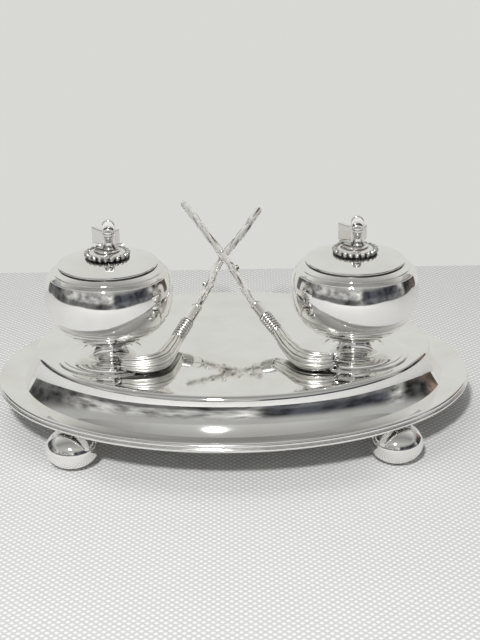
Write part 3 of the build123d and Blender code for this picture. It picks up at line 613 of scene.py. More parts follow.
# ---------------------------------------------------------------- inkwells
@dataclass
class Inkwell:
    """One curling-stone inkwell with its foot, collar, glass, lid and handle.

    Attributes:
        side: which half of the inkstand.
        lower: centre radius and size of the stone's lower curve.
        upper: the same for its upper curve.
        belly: height of the widest place over the plateau.
        shoulder: height where the shoulder begins.
        mouth: radius and height of the mouth's edge.
        bore: radius of the mouth.
        base: radius of the stone's base.
        rings: distances along the profile of the engraved rings.
    """

    side: Side
    lower: Point = (9.8, 28.2)
    upper: Point = (3.6, 34.4)
    belly: float = 39.5
    shoulder: float = 52.5
    mouth: Point = (29.6, 57.2)
    bore: float = 27.6
    base: float = 12.0
    groove: float = 0.3

    def __post_init__(self) -> None:
        """Reads the well's axis and the plateau's level from the frame."""
        spot = centre_of(f"bowl_{self.side.word}")
        self.axis = Vector((spot.x, spot.y, top_of("tray")))

    def name(self, piece: str) -> str:
        """Node or piece name on this side."""
        return f"{piece}_{self.side.word}"

    def engraved(self, profile: Sequence[Point], levels: Sequence[float]) -> list[Point]:
        """Profile with a fine rounded groove at each of the given heights.

        Args:
            profile: dense outline going up.
            levels: heights of the grooves.

        Returns:
            The outline with more points at the grooves.
        """
        lengths = [0.0]
        for a, b in zip(profile, profile[1:]):
            lengths.append(lengths[-1] + math.dist(a, b))

        def at(length: float) -> tuple[Point, Point]:
            """Point and outward direction at a length along the outline."""
            i = max(j for j in range(len(lengths) - 1) if lengths[j] <= max(length, 0))
            a, b = profile[i], profile[i + 1]
            share = (length - lengths[i]) / (lengths[i + 1] - lengths[i])
            along = ((b[0] - a[0]) / math.dist(a, b), (b[1] - a[1]) / math.dist(a, b))
            return (a[0] + share * (b[0] - a[0]), a[1] + share * (b[1] - a[1])), (along[1], -along[0])

        places = set(lengths)
        cuts = []
        for level in levels:
            i = min(range(len(profile)), key=lambda j: abs(profile[j][1] - level))
            cuts.append(lengths[i])
            places.update(lengths[i] + self.groove * k / 4 for k in range(-8, 9))
        outline = []
        for length in sorted(p for p in places if 0 <= p < lengths[-1]):
            (r, z), out = at(length)
            deep = sum(self.groove * math.exp(-(((length - cut) / (0.7 * self.groove)) ** 2)) for cut in cuts)
            outline.append((r - deep * out[0], z - deep * out[1]))
        return outline + [profile[-1]]

    def stone_side(self, wall: float) -> list[Point]:
        """Outline of the stone's side drawn in by a wall, from base to shoulder."""
        centre, radius = self.lower
        low = -90 + math.degrees(math.asin((self.base - centre) / radius)) if wall == 0 else -90
        side = arc((centre, self.belly), radius - wall, low, 0, 48)
        centre, radius = self.upper
        high = math.degrees(math.asin((self.shoulder - 0.4 * wall - self.belly) / (radius - wall)))
        return side + arc((centre, self.belly), radius - wall, 0, high, 20)[1:]

    def shoulder_slope(self, start: Point) -> list[Point]:
        """Gently swelling slope from the shoulder's edge to the mouth."""
        steps = 14
        points = []
        for i in range(1, steps + 1):
            share = i / steps
            swell = 0.35 * math.sin(math.pi * share)
            points.append((start[0] + share * (self.mouth[0] - start[0]) + swell * 0.6,
                           start[1] + share * (self.mouth[1] - start[1]) + swell * 0.8))
        return points

    def build_pedestal(self, finish: bpy.types.Material) -> None:
        """Models the stepped round foot with its trumpet neck."""
        radius, edge, step, dome_end, neck = 33.0, 1.0, 29.8, 18.4, (8.6, 11.0)
        profile = [(0.0, 0.0), (radius - 0.15, 0.0), (radius, 0.2), (radius, edge - 0.25), (radius - 0.25, edge)]
        profile += [(step + 0.15, edge), (step, edge + 0.15), (step, edge + 0.4)]
        for i in range(1, 17):
            share = i / 16
            r = step + (dome_end - step) * share
            profile.append((r, edge + 0.5 + 1.9 * math.sin(math.pi / 2 * share ** 0.75)))
        ring_z = profile[-1][1]
        profile += [(dome_end - 0.15, ring_z - 0.05), (dome_end - 0.25, ring_z - 0.55), (dome_end - 1.1, ring_z - 0.6)]
        start = profile[-1]
        for i in range(1, 25):
            share = i / 24
            turn = math.pi / 2 * share
            r = start[0] + (neck[0] - start[0]) * math.sin(turn)
            z = start[1] + (neck[1] - start[1]) * (1 - math.cos(turn))
            profile.append((r, z))
        profile += [(neck[0], neck[1] + 0.6), (0.0, neck[1] + 0.6)]
        foot = spun(self.name("stepped_foot"), profile, self.axis, 144)
        settle(foot, Body.STAND, "stone_silver", finish, self.name("pedestal"))

    def build_stone(self, finish: bpy.types.Material) -> None:
        """Models the hollow stone with its engraved rings."""
        side = self.stone_side(0)
        outside = side + self.shoulder_slope(side[-1])
        levels = (22.9, 25.4, self.shoulder + 0.55, self.shoulder + 2.6)
        profile = [(0.0, side[0][1])] + self.engraved(outside, levels)
        inside = self.stone_side(1.3)
        profile += [(self.bore, self.mouth[1])] + inside[::-1] + [(0.0, inside[0][1])]
        stone = spun(self.name("stone"), profile, self.axis, 176)
        settle(stone, Body.STAND, "stone_silver", finish, self.name("bowl"))

    def build_collar(self, finish: bpy.types.Material) -> None:
        """Models the mouth ring with its skirt and the ledge that carries the glass."""
        low, top = self.mouth[1], self.mouth[1] + 0.8
        ledge, deep, skirt = 56.3, 53.6, 26.5
        profile = [(29.2, low), (29.2, top - 0.2), (29.0, top), (skirt + 0.2, top), (skirt, top - 0.2), (skirt, ledge)]
        profile += [(25.0, ledge), (24.8, ledge - 0.2), (24.8, deep), (self.bore, deep), (self.bore, low), (29.2, low)]
        collar = spun(self.name("mouth_ring"), profile, self.axis, 144)
        settle(collar, Body.STAND, "lid_silver", finish, self.name("collar"))

    def build_glass(self, finish: bpy.types.Material) -> None:
        """Models the pressed ink cup with rounded corners inside and out."""
        outer, inner, flange = 24.5, 22.7, 26.2
        ledge, bottom, floor = 56.3, 25.3, 27.7
        profile = [(0.0, bottom + 0.4), (15.0, bottom + 0.4), (16.5, bottom), (outer - 2, bottom)]
        profile += arc((outer - 2, bottom + 2), 2, -80, 0, 6)
        profile += [(outer, ledge), (flange - 0.3, ledge), (flange, ledge + 0.3), (flange, ledge + 1.1)]
        profile += [(flange - 0.4, ledge + 1.4), (inner + 0.6, ledge + 1.4), (inner, ledge + 0.8)]
        profile += arc((inner - 3, floor + 3), 3, 0, -90, 8) + [(0.0, floor)]
        cup = spun(self.name("ink_cup"), profile, self.axis, 96)
        settle(cup, Body.STAND, "clear_glass", finish, self.name("glass_liner"))

    def build_lid(self, finish: bpy.types.Material) -> None:
        """Models the domed lid with its flat seat."""
        seat, radius, edge, crown, wall = 58.1, 29.3, 1.1, 4.3, 1.1
        reach = radius - 0.5
        sphere = (reach ** 2 + crown ** 2) / (2 * crown)
        top = seat + edge + crown
        profile = [(radius - 2.6, seat), (radius - 0.15, seat), (radius, seat + 0.15), (radius, seat + edge - 0.45)]
        profile += [(radius - 0.12, seat + edge - 0.2), (reach, seat + edge)]
        for i in range(1, 33):
            r = reach * (1 - i / 32)
            profile.append((r, top - sphere + math.sqrt(sphere ** 2 - r ** 2)))
        for i in range(17):
            r = (radius - 2.6) * i / 16
            profile.append((r, top - sphere + math.sqrt((sphere - wall) ** 2 - r ** 2)))
        profile.append((radius - 2.6, seat))
        lid = spun(self.name("domed_lid"), profile, self.axis, 160)
        settle(lid, self.side.lid_body, "lid_silver", finish, self.name("lid"))

    def build_rosette(self, finish: bpy.types.Material) -> None:
        """Models the domed rosette and its row of rounded lobes."""
        low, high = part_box(self.name("rosette"))
        base, crest = low[2] / MM - self.axis.z, high[2] / MM - self.axis.z
        profile = [(0.0, base + 0.5), (11.5, base + 0.3), (12.2, base + 0.8), (11.9, base + 1.8), (11.0, base + 2.5)]
        profile += [(9.6, crest - 0.28), (7.8, crest - 0.02), (0.0, crest)]
        rosette = spun(self.name("lobed_rosette"), profile, self.axis, 88)
        lobes = 22
        bpy.ops.object.mode_set(mode="EDIT")
        for i in range(lobes):
            turn = FULL_TURN * (i + 0.5) / lobes
            spot = Vector((self.axis.x + 11.65 * math.cos(turn), self.axis.y + 11.65 * math.sin(turn),
                           self.axis.z + base + 1.45)) * MM
            bpy.ops.mesh.primitive_uv_sphere_add(segments=14, ring_count=10, radius=MM, location=spot,
                                                 rotation=(0, math.radians(38), turn), scale=(1.75, 1.62, 2.35))
        finish_mesh(rosette, math.radians(50))
        settle(rosette, self.side.lid_body, "finial_silver", finish, self.name("rosette"))

    def build_disc(self, finish: bpy.types.Material) -> None:
        """Models the small round plate under the handle."""
        low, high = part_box(self.name("handle_disc"))
        base, crest = low[2] / MM - self.axis.z, high[2] / MM - self.axis.z
        profile = [(0.0, base), (7.5, base), (7.5, crest - 0.4), (7.35, crest - 0.1), (7.05, crest), (0.0, crest)]
        disc = spun(self.name("round_plate"), profile, self.axis, 72)
        settle(disc, self.side.lid_body, "finial_silver", finish, self.name("handle_disc"))

    def build_ferrule(self, finish: bpy.types.Material) -> None:
        """Models the turned stem with its banded, domed cap."""
        low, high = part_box(self.name("handle_ferrule"))
        radius, waist = (high[0] - low[0]) / (2 * MM), 1.75
        centre = Vector(((low[0] + high[0]) / 2, low[1], 0)) / MM
        height = (high[2] - low[2]) / MM
        cap = height - 4.4
        profile = [(0.0, 0.0), (waist + 0.9, 0.0), (waist + 0.9, 0.7), (waist + 0.4, 1.2)]
        profile += [(waist, 2.6), (waist, cap - 3.0), (waist + 0.5, cap - 1.4), (radius - 0.5, cap - 0.2)]
        profile += [(radius - 0.1, cap + 0.3), (radius, cap + 0.7), (radius, cap + 1.4), (radius - 0.5, cap + 1.6)]
        profile += [(radius - 0.5, cap + 2.1), (radius - 0.1, cap + 2.3)]
        profile += [(radius * math.cos(math.radians(a)), cap + 2.3 + 2.0 * math.sin(math.radians(a)))
                    for a in range(15, 91, 15)]
        axis = Vector((centre.x, low[1] / MM + radius, low[2] / MM))
        ferrule = spun(self.name("banded_ferrule"), profile, axis, 64)
        settle(ferrule, self.side.lid_body, "finial_silver", finish, self.name("handle_ferrule"))

    def build(self, finishes: dict[str, bpy.types.Material]) -> None:
        """Builds every piece of the well and dresses the nodes that stay."""
        self.build_pedestal(finishes["stone"])
        self.build_stone(finishes["stone"])
        # The mouth ring gets the near-black finish, painted shadow under the lid's edge.
        self.build_collar(finishes["seat"])
        self.build_glass(finishes["glass"])
        self.build_lid(finishes["lid"])
        self.build_rosette(finishes["rosette"])
        self.build_disc(finishes["finial"])
        self.build_ferrule(finishes["finial"])
        for node in ("handle_post", "handle_grip", "handle_brace"):
            dress(self.name(node), finishes["finial"])
        for node in ("collar_knuckles", "lid_knuckle"):
            dress(self.name(node), finishes["lid"])
        for node in ("inkwell_bolt", "inkwell_washer", "hinge_pin", "handle_stud"):
            dress(self.name(node), finishes["steel"])


# ---------------------------------------------------------------- brooms
@dataclass(frozen=True)
class Lean:
    """Sloping plane in which both handles recline to the back.

    Attributes:
        slope: rise per millimetre to the back.
        level: height over the plateau at y = 0.
        part: distance of each handle's centre from the plane.
    """

    slope: float = 0.573
    level: float = 16.6
    part: float = 2.45

    def spot(self, x: float, y: float, front: bool) -> Vector:
        """Point of a handle's centre line above (x, y)."""
        square = Vector((0, -self.slope, 1)).normalized() * (self.part if front else -self.part)
        return Vector((x, y, top_of("tray") + self.level + self.slope * y)) + square


@dataclass
class Broom:
    """One curling broom: knotty twig handle, whipped binding and bristle head.

    Attributes:
        side: the side its head lies on.
        bends: the handle's bends from the top down, as (x, y) in the sloping plane.
        knot: number of the bend that carries the side twig.
        head: centre line of the head after the binding, as (distance out, y, height).
        front: passes over the other broom.
        lean: the plane of the handles.
        twig: radius of the handle.
        strands: number of bristles that show.
        radii: radius of the head at each point of its centre line.
    """

    side: Side
    bends: Sequence[Point]
    knot: int
    head: Sequence[tuple[float, float, float]]
    front: bool
    lean: Lean = Lean()
    twig: float = 2.4
    strands: int = 46
    radii: Sequence[float] = (3.9, 5.1, 5.8, 5.4, 3.6)

    def name(self, piece: str) -> str:
        """Node or piece name on this side."""
        return f"{piece}_{self.side.word}"

    def handle_spots(self) -> list[Vector]:
        """Points of the handle's centre line from the top down."""
        return [self.lean.spot(x, y, self.front) for x, y in self.bends]

    def head_spots(self) -> list[Vector]:
        """Points of the head's centre line from the binding out."""
        return [Vector((self.side.value * out, y, top_of("tray") + height)) for out, y, height in self.head]

    def bend_along(self, piece: bpy.types.Object, spots: Sequence[Vector]) -> bpy.types.Object:
        """Bends a piece that stands on +Z along a smooth line and removes the line.

        Args:
            piece: piece whose height runs along the line.
            spots: points of the line in millimetres.

        Returns:
            The bent piece.
        """
        bpy.ops.object.select_all(action="DESELECT")
        bpy.ops.curve.primitive_bezier_curve_add(location=(0, 0, 0))
        route = bpy.context.object
        route.data.resolution_u = 24
        line = route.data.splines[0]
        line.bezier_points.add(len(spots) - 2)
        for point, spot in zip(line.bezier_points, spots):
            point.co = spot * MM
            point.handle_left_type = point.handle_right_type = "AUTO"
        bpy.ops.object.select_all(action="DESELECT")
        piece.select_set(True)
        bpy.context.view_layer.objects.active = piece
        bend = piece.modifiers.new("bend", "CURVE")
        bend.object = route
        bend.deform_axis = "POS_Z"
        bpy.ops.object.modifier_apply(modifier=bend.name)
        bpy.data.objects.remove(route)
        return piece

    def roughen(self, piece: bpy.types.Object, size: float, strength: float) -> None:
        """Makes a piece's surface uneven, as cast twigs are.

        Args:
            piece: the piece.
            size: size of the lumps in millimetres.
            strength: their height in millimetres.
        """
        cloud = bpy.data.textures.new("lumps", "CLOUDS")
        cloud.noise_scale = size * MM
        cloud.noise_depth = 2
        lumps = piece.modifiers.new("lumps", "DISPLACE")
        lumps.texture = cloud
        lumps.texture_coords = "LOCAL"
        lumps.strength = strength * MM
        lumps.mid_level = 0.5
        bpy.ops.object.modifier_apply(modifier=lumps.name)

    def build_handle(self, finish: bpy.types.Material) -> None:
        """Models the twig: swellings at its bends, knots between them and a cut side twig."""
        spots = self.handle_spots()
        lengths = [0.0]
        for a, b in zip(spots, spots[1:]):
            lengths.append(lengths[-1] + (b - a).length)
        total = lengths[-1]
        knots = [(length, 0.45 if i == self.knot else 0.25) for i, length in enumerate(lengths[1:-1], start=1)]
        knots += [(total * share, 0.22) for share in (0.06, 0.31, 0.55, 0.9)]
        profile = [(0.0, 0.0), (self.twig - 0.5, 0.0)]
        steps = 150
        for i in range(1, steps):
            z = 0.3 + (total - 0.3) * i / steps
            swell = sum(high * math.exp(-(((z - at) / 1.5) ** 2)) for at, high in knots)
            profile.append((self.twig - 0.08 + swell + 0.10 * math.sin(0.9 * z) * math.sin(0.37 * z), z))
        profile += [(self.twig, total), (0.0, total)]
        rod = spun(self.name("twig_handle"), profile, Vector((0, 0, 0)), 28)
        self.bend_along(rod, spots)
        knot = spots[self.knot]
        tip = knot + Vector((self.side.value * 3.9, 0, 1.4))
        bpy.ops.object.mode_set(mode="EDIT")
        turn = (tip - knot).to_track_quat("Z", "Y").to_euler()
        bpy.ops.mesh.primitive_cone_add(vertices=16, radius1=self.twig * 0.8 * MM, radius2=self.twig * 0.55 * MM,
                                        depth=(tip - knot).length * MM, location=(knot + tip) / 2 * MM, rotation=turn)
        finish_mesh(rod, math.radians(50))
        self.roughen(rod, 4.0, 0.5)
        settle(rod, Body.STAND, "broom_silver", finish, self.name("broom_handle"))

    def build_binding(self, finish: bpy.types.Material) -> None:
        """Models the sleeve and the rounded turns of the whipping."""
        start, end = self.handle_spots()[-1], self.head_spots()[0]
        length = (end - start).length
        bound, turns, crest = 14.0, 7, 4.2
        sleeve = length - bound
        profile = [(0.0, 0.0), (2.6, 0.0), (3.2, 0.25), (3.55, 0.8), (3.5, 1.7), (3.2, 2.2), (3.3, 3.0)]
        profile += [(3.5, sleeve - 2.0), (3.85, sleeve - 0.3)]
        pitch = bound / turns
        for i in range(turns):
            profile += [(crest - 0.85 + 0.85 * math.sin(math.pi * k / 6), sleeve + (i + k / 6) * pitch) for k in range(6)]
        profile += [(crest - 0.5, length), (0.0, length)]
        binding = spun(self.name("whipping"), profile, Vector((0, 0, 0)), 48)
        turn = (end - start).to_track_quat("Z", "Y").to_matrix().to_4x4()
        binding.matrix_world = Matrix.Translation(start * MM) @ turn
        bpy.ops.object.transform_apply(location=True, rotation=True, scale=True)
        self.roughen(binding, 1.8, 0.2)
        settle(binding, Body.STAND, "broom_silver", finish, self.name("broom_binding"))

    def build_head(self, finish: bpy.types.Material) -> None:
        """Models the head: bristles drawn out together, swelling, cut ragged and bent to rest."""
        spots = self.head_spots()
        lengths = [0.0]
        for a, b in zip(spots, spots[1:]):
            lengths.append(lengths[-1] + (b - a).length)
        golden = math.pi * (3 - math.sqrt(5))
        first = self.radii[0]
        thick = 0.62
        places = []
        for i in range(self.strands):
            reach = (first - thick * 0.7) * math.sqrt((i + 0.5) / self.strands)
            places.append((reach * math.cos(i * golden), reach * math.sin(i * golden)))
        bundle = edit_new(self.name("bristle_head"), lambda: bpy.ops.mesh.primitive_circle_add(
            vertices=24, radius=(first - 0.6) * MM, location=(0, 0, 0), fill_type="NGON"))
        for x, y in places:
            bpy.ops.mesh.primitive_circle_add(vertices=7, radius=thick * MM, location=(x * MM, y * MM, 0), fill_type="NGON")
        bpy.ops.mesh.select_all(action="SELECT")
        steps = 20
        size = 1.0
        last = 0.0
        for step in range(1, steps + 1):
            along = lengths[-1] * step / steps
            k = max(j for j in range(len(lengths) - 1) if lengths[j] <= along + 1e-6)
            share = (along - lengths[k]) / (lengths[k + 1] - lengths[k])
            radius = self.radii[k] + share * (self.radii[k + 1] - self.radii[k])
            bpy.ops.mesh.extrude_region_move(TRANSFORM_OT_translate={"value": (0, 0, (along - last) * MM)})
            ratio = radius / first / size
            bpy.ops.transform.resize(value=(ratio, ratio, 1), center_override=(0, 0, along * MM))
            size *= ratio
            last = along
        bpy.ops.mesh.extrude_region_move(TRANSFORM_OT_translate={"value": (0, 0, 1.2 * MM)})
        bpy.ops.transform.resize(value=(0.8, 0.8, 1), center_override=(0, 0, last * MM))
        bpy.ops.transform.vertex_random(offset=1.9 * MM, uniform=1.0, seed=7)
        finish_mesh(bundle, math.radians(70))
        self.bend_along(bundle, spots)
        self.roughen(bundle, 0.9, 0.9)
        bpy.ops.object.mode_set(mode="EDIT")
        bpy.ops.mesh.select_all(action="SELECT")
        rest = top_of("tray") * MM
        bpy.ops.mesh.bisect(plane_co=(0, 0, rest), plane_no=(0, 0, 1), clear_inner=True, use_fill=True)
        pad = spots[2]
        bpy.ops.mesh.primitive_cylinder_add(vertices=24, radius=2.4 * MM, depth=(pad.z - top_of("tray")) * MM,
                                            location=(pad.x * MM, pad.y * MM, (pad.z + top_of("tray")) / 2 * MM))
        finish_mesh(bundle, math.radians(70))
        settle(bundle, Body.STAND, "broom_silver", finish, self.name("broom_head"))

    def build(self, finishes: dict[str, bpy.types.Material]) -> None:
        """Builds the broom and dresses the nodes that stay."""
        self.build_handle(finishes[self.name("twig")])
        self.build_binding(finishes["binding"])
        self.build_head(finishes["bristle"])
        for node in ("broom_screw", "broom_washer"):
            dress(self.name(node), finishes["steel"])


# ---------------------------------------------------------------- studio
@dataclass
class Studio:
    """Table, pale wall colour, lamps, the reflected room and the camera.

    Attributes:
        focal_px: focal length in picture pixels.
        picture_height: height of the picture in pixels.
        sensor: sensor height in millimetres.
        camera_place: the camera in metres.
        yaw: the camera's turn to the right in radians.
        pitch: its turn upwards.
        roll: its turn about the line of sight.
        table_back: back edge of the table along Y in metres.
        table_front: front edge of the table along Y in metres.
        wall: colour of the pale wall.
        ceiling: reflected colours by the angle from the back horizon over the top, in turns of 180 degrees.
        ring: radius of the room's reflected wall in metres.
        foot: its lower edge.
        head: its upper edge.
        upper: colours of its upper half by direction in degrees, 0 to the front, positive right.
        lower: the same for its lower half.
    """

    focal_px: float = 1443.0
    picture_height: float = 640.0
    sensor: float = 36.0
    camera_place: tuple[float, float, float] = (0.0013, -0.8225, 0.3809)
    yaw: float = 0.004
    pitch: float = -0.373
    roll: float = -0.015
    table_back: float = 0.262
    table_front: float = -0.64
    wall: Colour = (0.69, 0.695, 0.665)
    ceiling: Sequence[tuple[float, Colour]] = (
        (0.0, (0.69, 0.695, 0.665)), (0.30, (0.69, 0.695, 0.665)), (0.42, (0.46, 0.46, 0.44)),
        (0.55, (0.26, 0.26, 0.25)), (0.70, (0.40, 0.40, 0.385)), (0.86, (0.62, 0.62, 0.60)), (1.0, (0.55, 0.55, 0.53)),
    )
    ring: float = 2.2
    foot: float = -0.30
    head: float = 1.5
    upper: Sequence[tuple[float, Colour]] = (
        (-140, (0.55, 0.55, 0.53)), (-126, (0.3, 0.3, 0.3)), (-110, (0.10, 0.10, 0.10)), (-72, (0.05, 0.05, 0.05)),
        (-66, (0.20, 0.20, 0.195)), (-60, (0.40, 0.40, 0.39)), (-28, (0.30, 0.30, 0.295)), (-22, (0.6, 0.6, 0.58)),
        (-18, (0.05, 0.052, 0.06)), (12, (0.045, 0.047, 0.055)), (18, (0.4, 0.4, 0.39)), (22, (0.05, 0.05, 0.05)),
        (32, (0.04, 0.04, 0.04)), (36, (0.24, 0.18, 0.15)), (48, (0.18, 0.13, 0.10)), (52, (0.015, 0.015, 0.015)),
        (66, (0.02, 0.018, 0.016)), (70, (0.6, 0.6, 0.58)), (75, (0.10, 0.055, 0.04)), (104, (0.05, 0.025, 0.02)),
        (116, (0.30, 0.29, 0.28)), (140, (0.55, 0.55, 0.53)),
    )
    lower: Sequence[tuple[float, Colour]] = (
        (-140, (0.5, 0.5, 0.49)), (-118, (0.14, 0.14, 0.14)), (-72, (0.08, 0.08, 0.08)), (-60, (0.13, 0.13, 0.13)),
        (-26, (0.07, 0.07, 0.07)), (-22, (0.3, 0.3, 0.29)), (-18, (0.09, 0.092, 0.10)), (12, (0.10, 0.10, 0.105)),
        (18, (0.3, 0.3, 0.29)), (22, (0.04, 0.04, 0.04)), (36, (0.09, 0.07, 0.06)), (52, (0.02, 0.02, 0.02)),
        (66, (0.02, 0.02, 0.02)), (71, (0.55, 0.55, 0.53)), (76, (0.07, 0.04, 0.03)), (104, (0.05, 0.03, 0.025)),
        (118, (0.3, 0.3, 0.29)), (140, (0.5, 0.5, 0.49)),
    )

    def build_camera(self) -> None:
        """Places the camera at the photograph's viewpoint."""
        data = bpy.data.cameras.new("camera")
        camera = bpy.data.objects.new("camera", data)
        bpy.context.scene.collection.objects.link(camera)
        data.sensor_width = self.sensor
        data.lens = self.focal_px * self.sensor / self.picture_height
        data.clip_start, data.clip_end = 0.01, 30
        turn = Euler((math.pi / 2 + self.pitch, 0, -self.yaw)).to_matrix() @ Matrix.Rotation(self.roll, 3, "Z")
        camera.matrix_world = Matrix.Translation(self.camera_place) @ turn.to_4x4()
        bpy.context.scene.camera = camera

    def build_world(self) -> None:
        """Pale wall behind, greyer ceiling in reflections, soft light for the rest."""
        world = bpy.data.worlds.new("pale_room")
        bpy.context.scene.world = world
        world.use_nodes = True
        tree = world.node_tree
        tree.nodes.clear()
        path = tree.nodes.new("ShaderNodeLightPath")
        way = tree.nodes.new("ShaderNodeTexCoord")
        parts = tree.nodes.new("ShaderNodeSeparateXYZ")
        angle = tree.nodes.new("ShaderNodeMath")
        angle.operation = "ARCTAN2"
        share = tree.nodes.new("ShaderNodeMath")
        share.operation = "DIVIDE"
        share.inputs[1].default_value = math.pi
        tree.links.new(way.outputs["Generated"], parts.inputs[0])
        tree.links.new(parts.outputs["Z"], angle.inputs[0])
        tree.links.new(parts.outputs["Y"], angle.inputs[1])
        tree.links.new(angle.outputs[0], share.inputs[0])
        sky = tree.nodes.new("ShaderNodeValToRGB")
        fill_ramp(sky.color_ramp, self.ceiling)
        tree.links.new(share.outputs[0], sky.inputs["Fac"])
        room = tree.nodes.new("ShaderNodeBackground")
        tree.links.new(sky.outputs["Color"], room.inputs["Color"])
        wall = tree.nodes.new("ShaderNodeBackground")
        wall.inputs["Color"].default_value = (*self.wall, 1)
        light = tree.nodes.new("ShaderNodeBackground")
        light.inputs["Color"].default_value = (1.0, 1.0, 0.985, 1)
        light.inputs["Strength"].default_value = 0.31
        reflected = tree.nodes.new("ShaderNodeMixShader")
        tree.links.new(path.outputs["Is Glossy Ray"], reflected.inputs["Fac"])
        tree.links.new(light.outputs[0], reflected.inputs[1])
        tree.links.new(room.outputs[0], reflected.inputs[2])
        seen = tree.nodes.new("ShaderNodeMath")
        seen.operation = "MAXIMUM"
        tree.links.new(path.outputs["Is Camera Ray"], seen.inputs[0])
        tree.links.new(path.outputs["Is Transmission Ray"], seen.inputs[1])
        mix = tree.nodes.new("ShaderNodeMixShader")
        out = tree.nodes.new("ShaderNodeOutputWorld")
        tree.links.new(seen.outputs[0], mix.inputs["Fac"])
        tree.links.new(reflected.outputs[0], mix.inputs[1])
        tree.links.new(wall.outputs[0], mix.inputs[2])
        tree.links.new(mix.outputs[0], out.inputs["Surface"])

    def build_table(self) -> None:
        """White cloth on a table that ends behind the tray."""
        middle = (self.table_back + self.table_front) / 2
        bpy.ops.object.select_all(action="DESELECT")
        bpy.ops.mesh.primitive_plane_add(size=1, location=(0, middle, 0))
        table = bpy.context.object
        table.name = "table_cloth"
        table.scale = (1.5, self.table_back - self.table_front, 1)
        bpy.ops.object.transform_apply(location=True, rotation=True, scale=True)
        table.data.materials.append(TableCloth().make())

    def room_finish(self) -> bpy.types.Material:
        """Self-lit picture of a room: panels by direction, blotches and a few bright spots."""
        sheet = NodeSheet("reflected_room")
        parts = sheet.add("ShaderNodeSeparateXYZ")
        sheet.link(sheet.coords, parts.inputs[0])
        back = sheet.add("ShaderNodeMath", operation="MULTIPLY")
        back.inputs[1].default_value = -1
        sheet.link(parts.outputs["Y"], back.inputs[0])
        turn = sheet.add("ShaderNodeMath", operation="ARCTAN2")
        sheet.link(parts.outputs["X"], turn.inputs[0])
        sheet.link(back.outputs[0], turn.inputs[1])
        share = sheet.add("ShaderNodeMapRange")
        share.inputs["From Min"].default_value = -math.pi
        share.inputs["From Max"].default_value = math.pi
        sheet.link(turn.outputs[0], share.inputs["Value"])
        bands = []
        for stops in (self.lower, self.upper):
            bands.append(sheet.ramp(share.outputs["Result"], [(0.5 + at / 360, colour) for at, colour in stops]))
        rise = sheet.add("ShaderNodeMapRange", interpolation_type="SMOOTHSTEP")
        rise.inputs["From Min"].default_value = 0.42
        rise.inputs["From Max"].default_value = 0.60
        sheet.link(parts.outputs["Z"], rise.inputs["Value"])
        panels = sheet.add("ShaderNodeMix", data_type="RGBA")
        sheet.link(rise.outputs["Result"], panels.inputs["Factor"])
        sheet.link(bands[0], panels.inputs["A"])
        sheet.link(bands[1], panels.inputs["B"])
        blotch = sheet.ramp(sheet.noise(2.6, 6), [(0.34, (0.35, 0.35, 0.35)), (0.64, (1.9, 1.9, 1.9))])
        stained = sheet.add("ShaderNodeMix", data_type="RGBA", blend_type="MULTIPLY")
        stained.inputs["Factor"].default_value = 1.0
        sheet.link(panels.outputs["Result"], stained.inputs["A"])
        sheet.link(blotch, stained.inputs["B"])
        fade = sheet.add("ShaderNodeMapRange", interpolation_type="SMOOTHSTEP")
        fade.inputs["From Min"].default_value = self.head - 0.55
        fade.inputs["From Max"].default_value = self.head
        sheet.link(parts.outputs["Z"], fade.inputs["Value"])
        shown = sheet.add("ShaderNodeMix", data_type="RGBA")
        sheet.link(fade.outputs["Result"], shown.inputs["Factor"])
        sheet.link(stained.outputs["Result"], shown.inputs["A"])
        shown.inputs["B"].default_value = (0.42, 0.42, 0.405, 1)
        shader = sheet.shader
        shader.inputs["Base Color"].default_value = (0, 0, 0, 1)
        shader.inputs["Specular IOR Level"].default_value = 0
        shader.inputs["Emission Strength"].default_value = 1
        sheet.link(shown.outputs["Result"], shader.inputs["Emission Color"])
        return sheet.material

    def build_room(self) -> None:
        """Curved wall in front of the inkstand that only reflections see."""
        turn = math.radians(40)
        start = Vector((self.ring * math.cos(turn), self.ring * math.sin(turn), self.foot))
        room = edit_new("room_wall", lambda: bpy.ops.mesh.primitive_circle_add(vertices=3, radius=MM, location=start))
        bpy.ops.mesh.merge(type="CENTER")
        bpy.ops.mesh.extrude_vertices_move(TRANSFORM_OT_translate={"value": (0, 0, self.head - self.foot)})
        bpy.ops.mesh.select_all(action="SELECT")
        bpy.ops.mesh.spin(steps=90, angle=math.radians(260), center=(0, 0, 0), axis=(0, 0, 1))
        bpy.ops.object.mode_set(mode="OBJECT")
        room.data.materials.append(self.room_finish())
        room.visible_camera = room.visible_diffuse = room.visible_shadow = room.visible_transmission = False

    def build_lamp(self, name: str, place: Sequence[float], size: float, power: float, glossy: bool) -> None:
        """Round lamp aimed at the inkstand."""
        data = bpy.data.lights.new(name, "AREA")
        data.shape = "DISK"
        data.size = size
        data.energy = power
        lamp = bpy.data.objects.new(name, data)
        bpy.context.scene.collection.objects.link(lamp)
        aim = (Vector((0, 0, 0.06)) - Vector(place)).to_track_quat("-Z", "Y")
        lamp.matrix_world = Matrix.Translation(place) @ aim.to_matrix().to_4x4()
        lamp.visible_glossy = glossy

    def build(self) -> None:
        """Builds the whole studio."""
        bpy.context.scene.view_settings.view_transform = "Standard"
        self.build_camera()
        self.build_world()
        self.build_table()
        self.build_room()
        self.build_lamp("top_lamp", (-0.35, 0.25, 1.5), 1.2, 4, False)
        self.build_lamp("window_lamp", (-0.22, -1.38, 1.25), 0.17, 26, True)


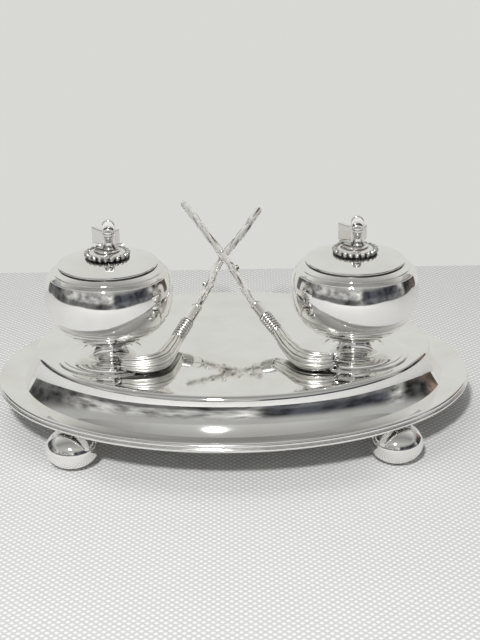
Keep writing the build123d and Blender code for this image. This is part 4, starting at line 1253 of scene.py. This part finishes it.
# ---------------------------------------------------------------- all together
RIGHT_HANDLE = ((-30.7, 79.5), (-19.6, 62.5), (-6.6, 41.5), (0.6, 29.8), (8.5, 14.1), (13.8, 5.0))
LEFT_HANDLE = ((18.4, 77.9), (6.6, 59.0), (-3.0, 46.1), (-8.6, 36.6), (-14.2, 22.0), (-21.4, 7.6))
RIGHT_HEAD = ((27.3, -15.5, 10.5), (34.5, -34.4, 6.6), (42.5, -47.8, 5.6), (50.8, -50.4, 5.4), (58.5, -49.2, 5.6))
LEFT_HEAD = ((33.7, -13.7, 6.6), (37.6, -31.3, 6.2), (43.3, -46.0, 5.6), (52.5, -49.8, 5.4), (65.4, -47.6, 5.6))


def make_finishes() -> dict[str, bpy.types.Material]:
    """Every material of the object by its use."""
    cast: Colour = (0.90, 0.885, 0.86)
    # recess sets how much painted shade darkens each finish's hollows.
    return {
        "tray": Silver("tray_plate_silver", gloss=0.025, smear=0.07, hammer=0.004, scratch=0.04).make(),
        "border": Silver("border_silver", gloss=0.06, smear=0.16, scratch=0.05, painted_hollow_shade=0.45).make(),
        "foot": Silver("foot_silver", gloss=0.04, smear=0.09).make(),
        "stone": Silver("stone_silver", gloss=0.05, smear=0.11, hammer=0.003).make(),
        "lid": Silver("lid_silver").make(),
        # The mouth ring's near-black colour is painted shadow: it stands in for the dark line under the lid's edge.
        "seat": Silver("painted_seat_shadow_silver", bright=(0.10, 0.095, 0.085), dull=(0.05, 0.045, 0.04), gloss=0.25,
                       smear=0.4).make(),
        "rosette": Silver("rosette_silver", bright=cast, gloss=0.05, smear=0.12, painted_hollow_shade=0.97).make(),
        "finial": Silver("finial_silver", bright=cast, gloss=0.06, smear=0.14, painted_hollow_shade=0.75).make(),
        "twig_right": Bark("right_bark_silver", (44.5, -73, -45)).make(),
        "twig_left": Bark("left_bark_silver", (-39.8, -70, -42)).make(),
        "binding": Silver("whipping_silver", bright=(0.97, 0.96, 0.92), gloss=0.14, smear=0.3, painted_hollow_shade=0.97).make(),
        "bristle": Silver("bristle_silver", bright=(0.97, 0.96, 0.92), dull=(0.93, 0.91, 0.86), gloss=0.24, smear=0.42,
                          scratch=0.1, painted_hollow_shade=0.9).make(),
        "glass": InkGlass().make(),
        "steel": Steel().make(),
    }


def main() -> None:
    """Builds the pieces and the studio."""
    logging.basicConfig(level=logging.INFO)
    finishes = make_finishes()
    Tray().build(finishes)
    for side in Side:
        Inkwell(side).build(finishes)
    Broom(Side.LEFT, LEFT_HANDLE, 4, LEFT_HEAD, False).build(finishes)
    Broom(Side.RIGHT, RIGHT_HANDLE, 3, RIGHT_HEAD, True).build(finishes)
    dress("crossing_rivet", finishes["binding"])
    Studio().build()


if __name__ == "__main__":
    main()
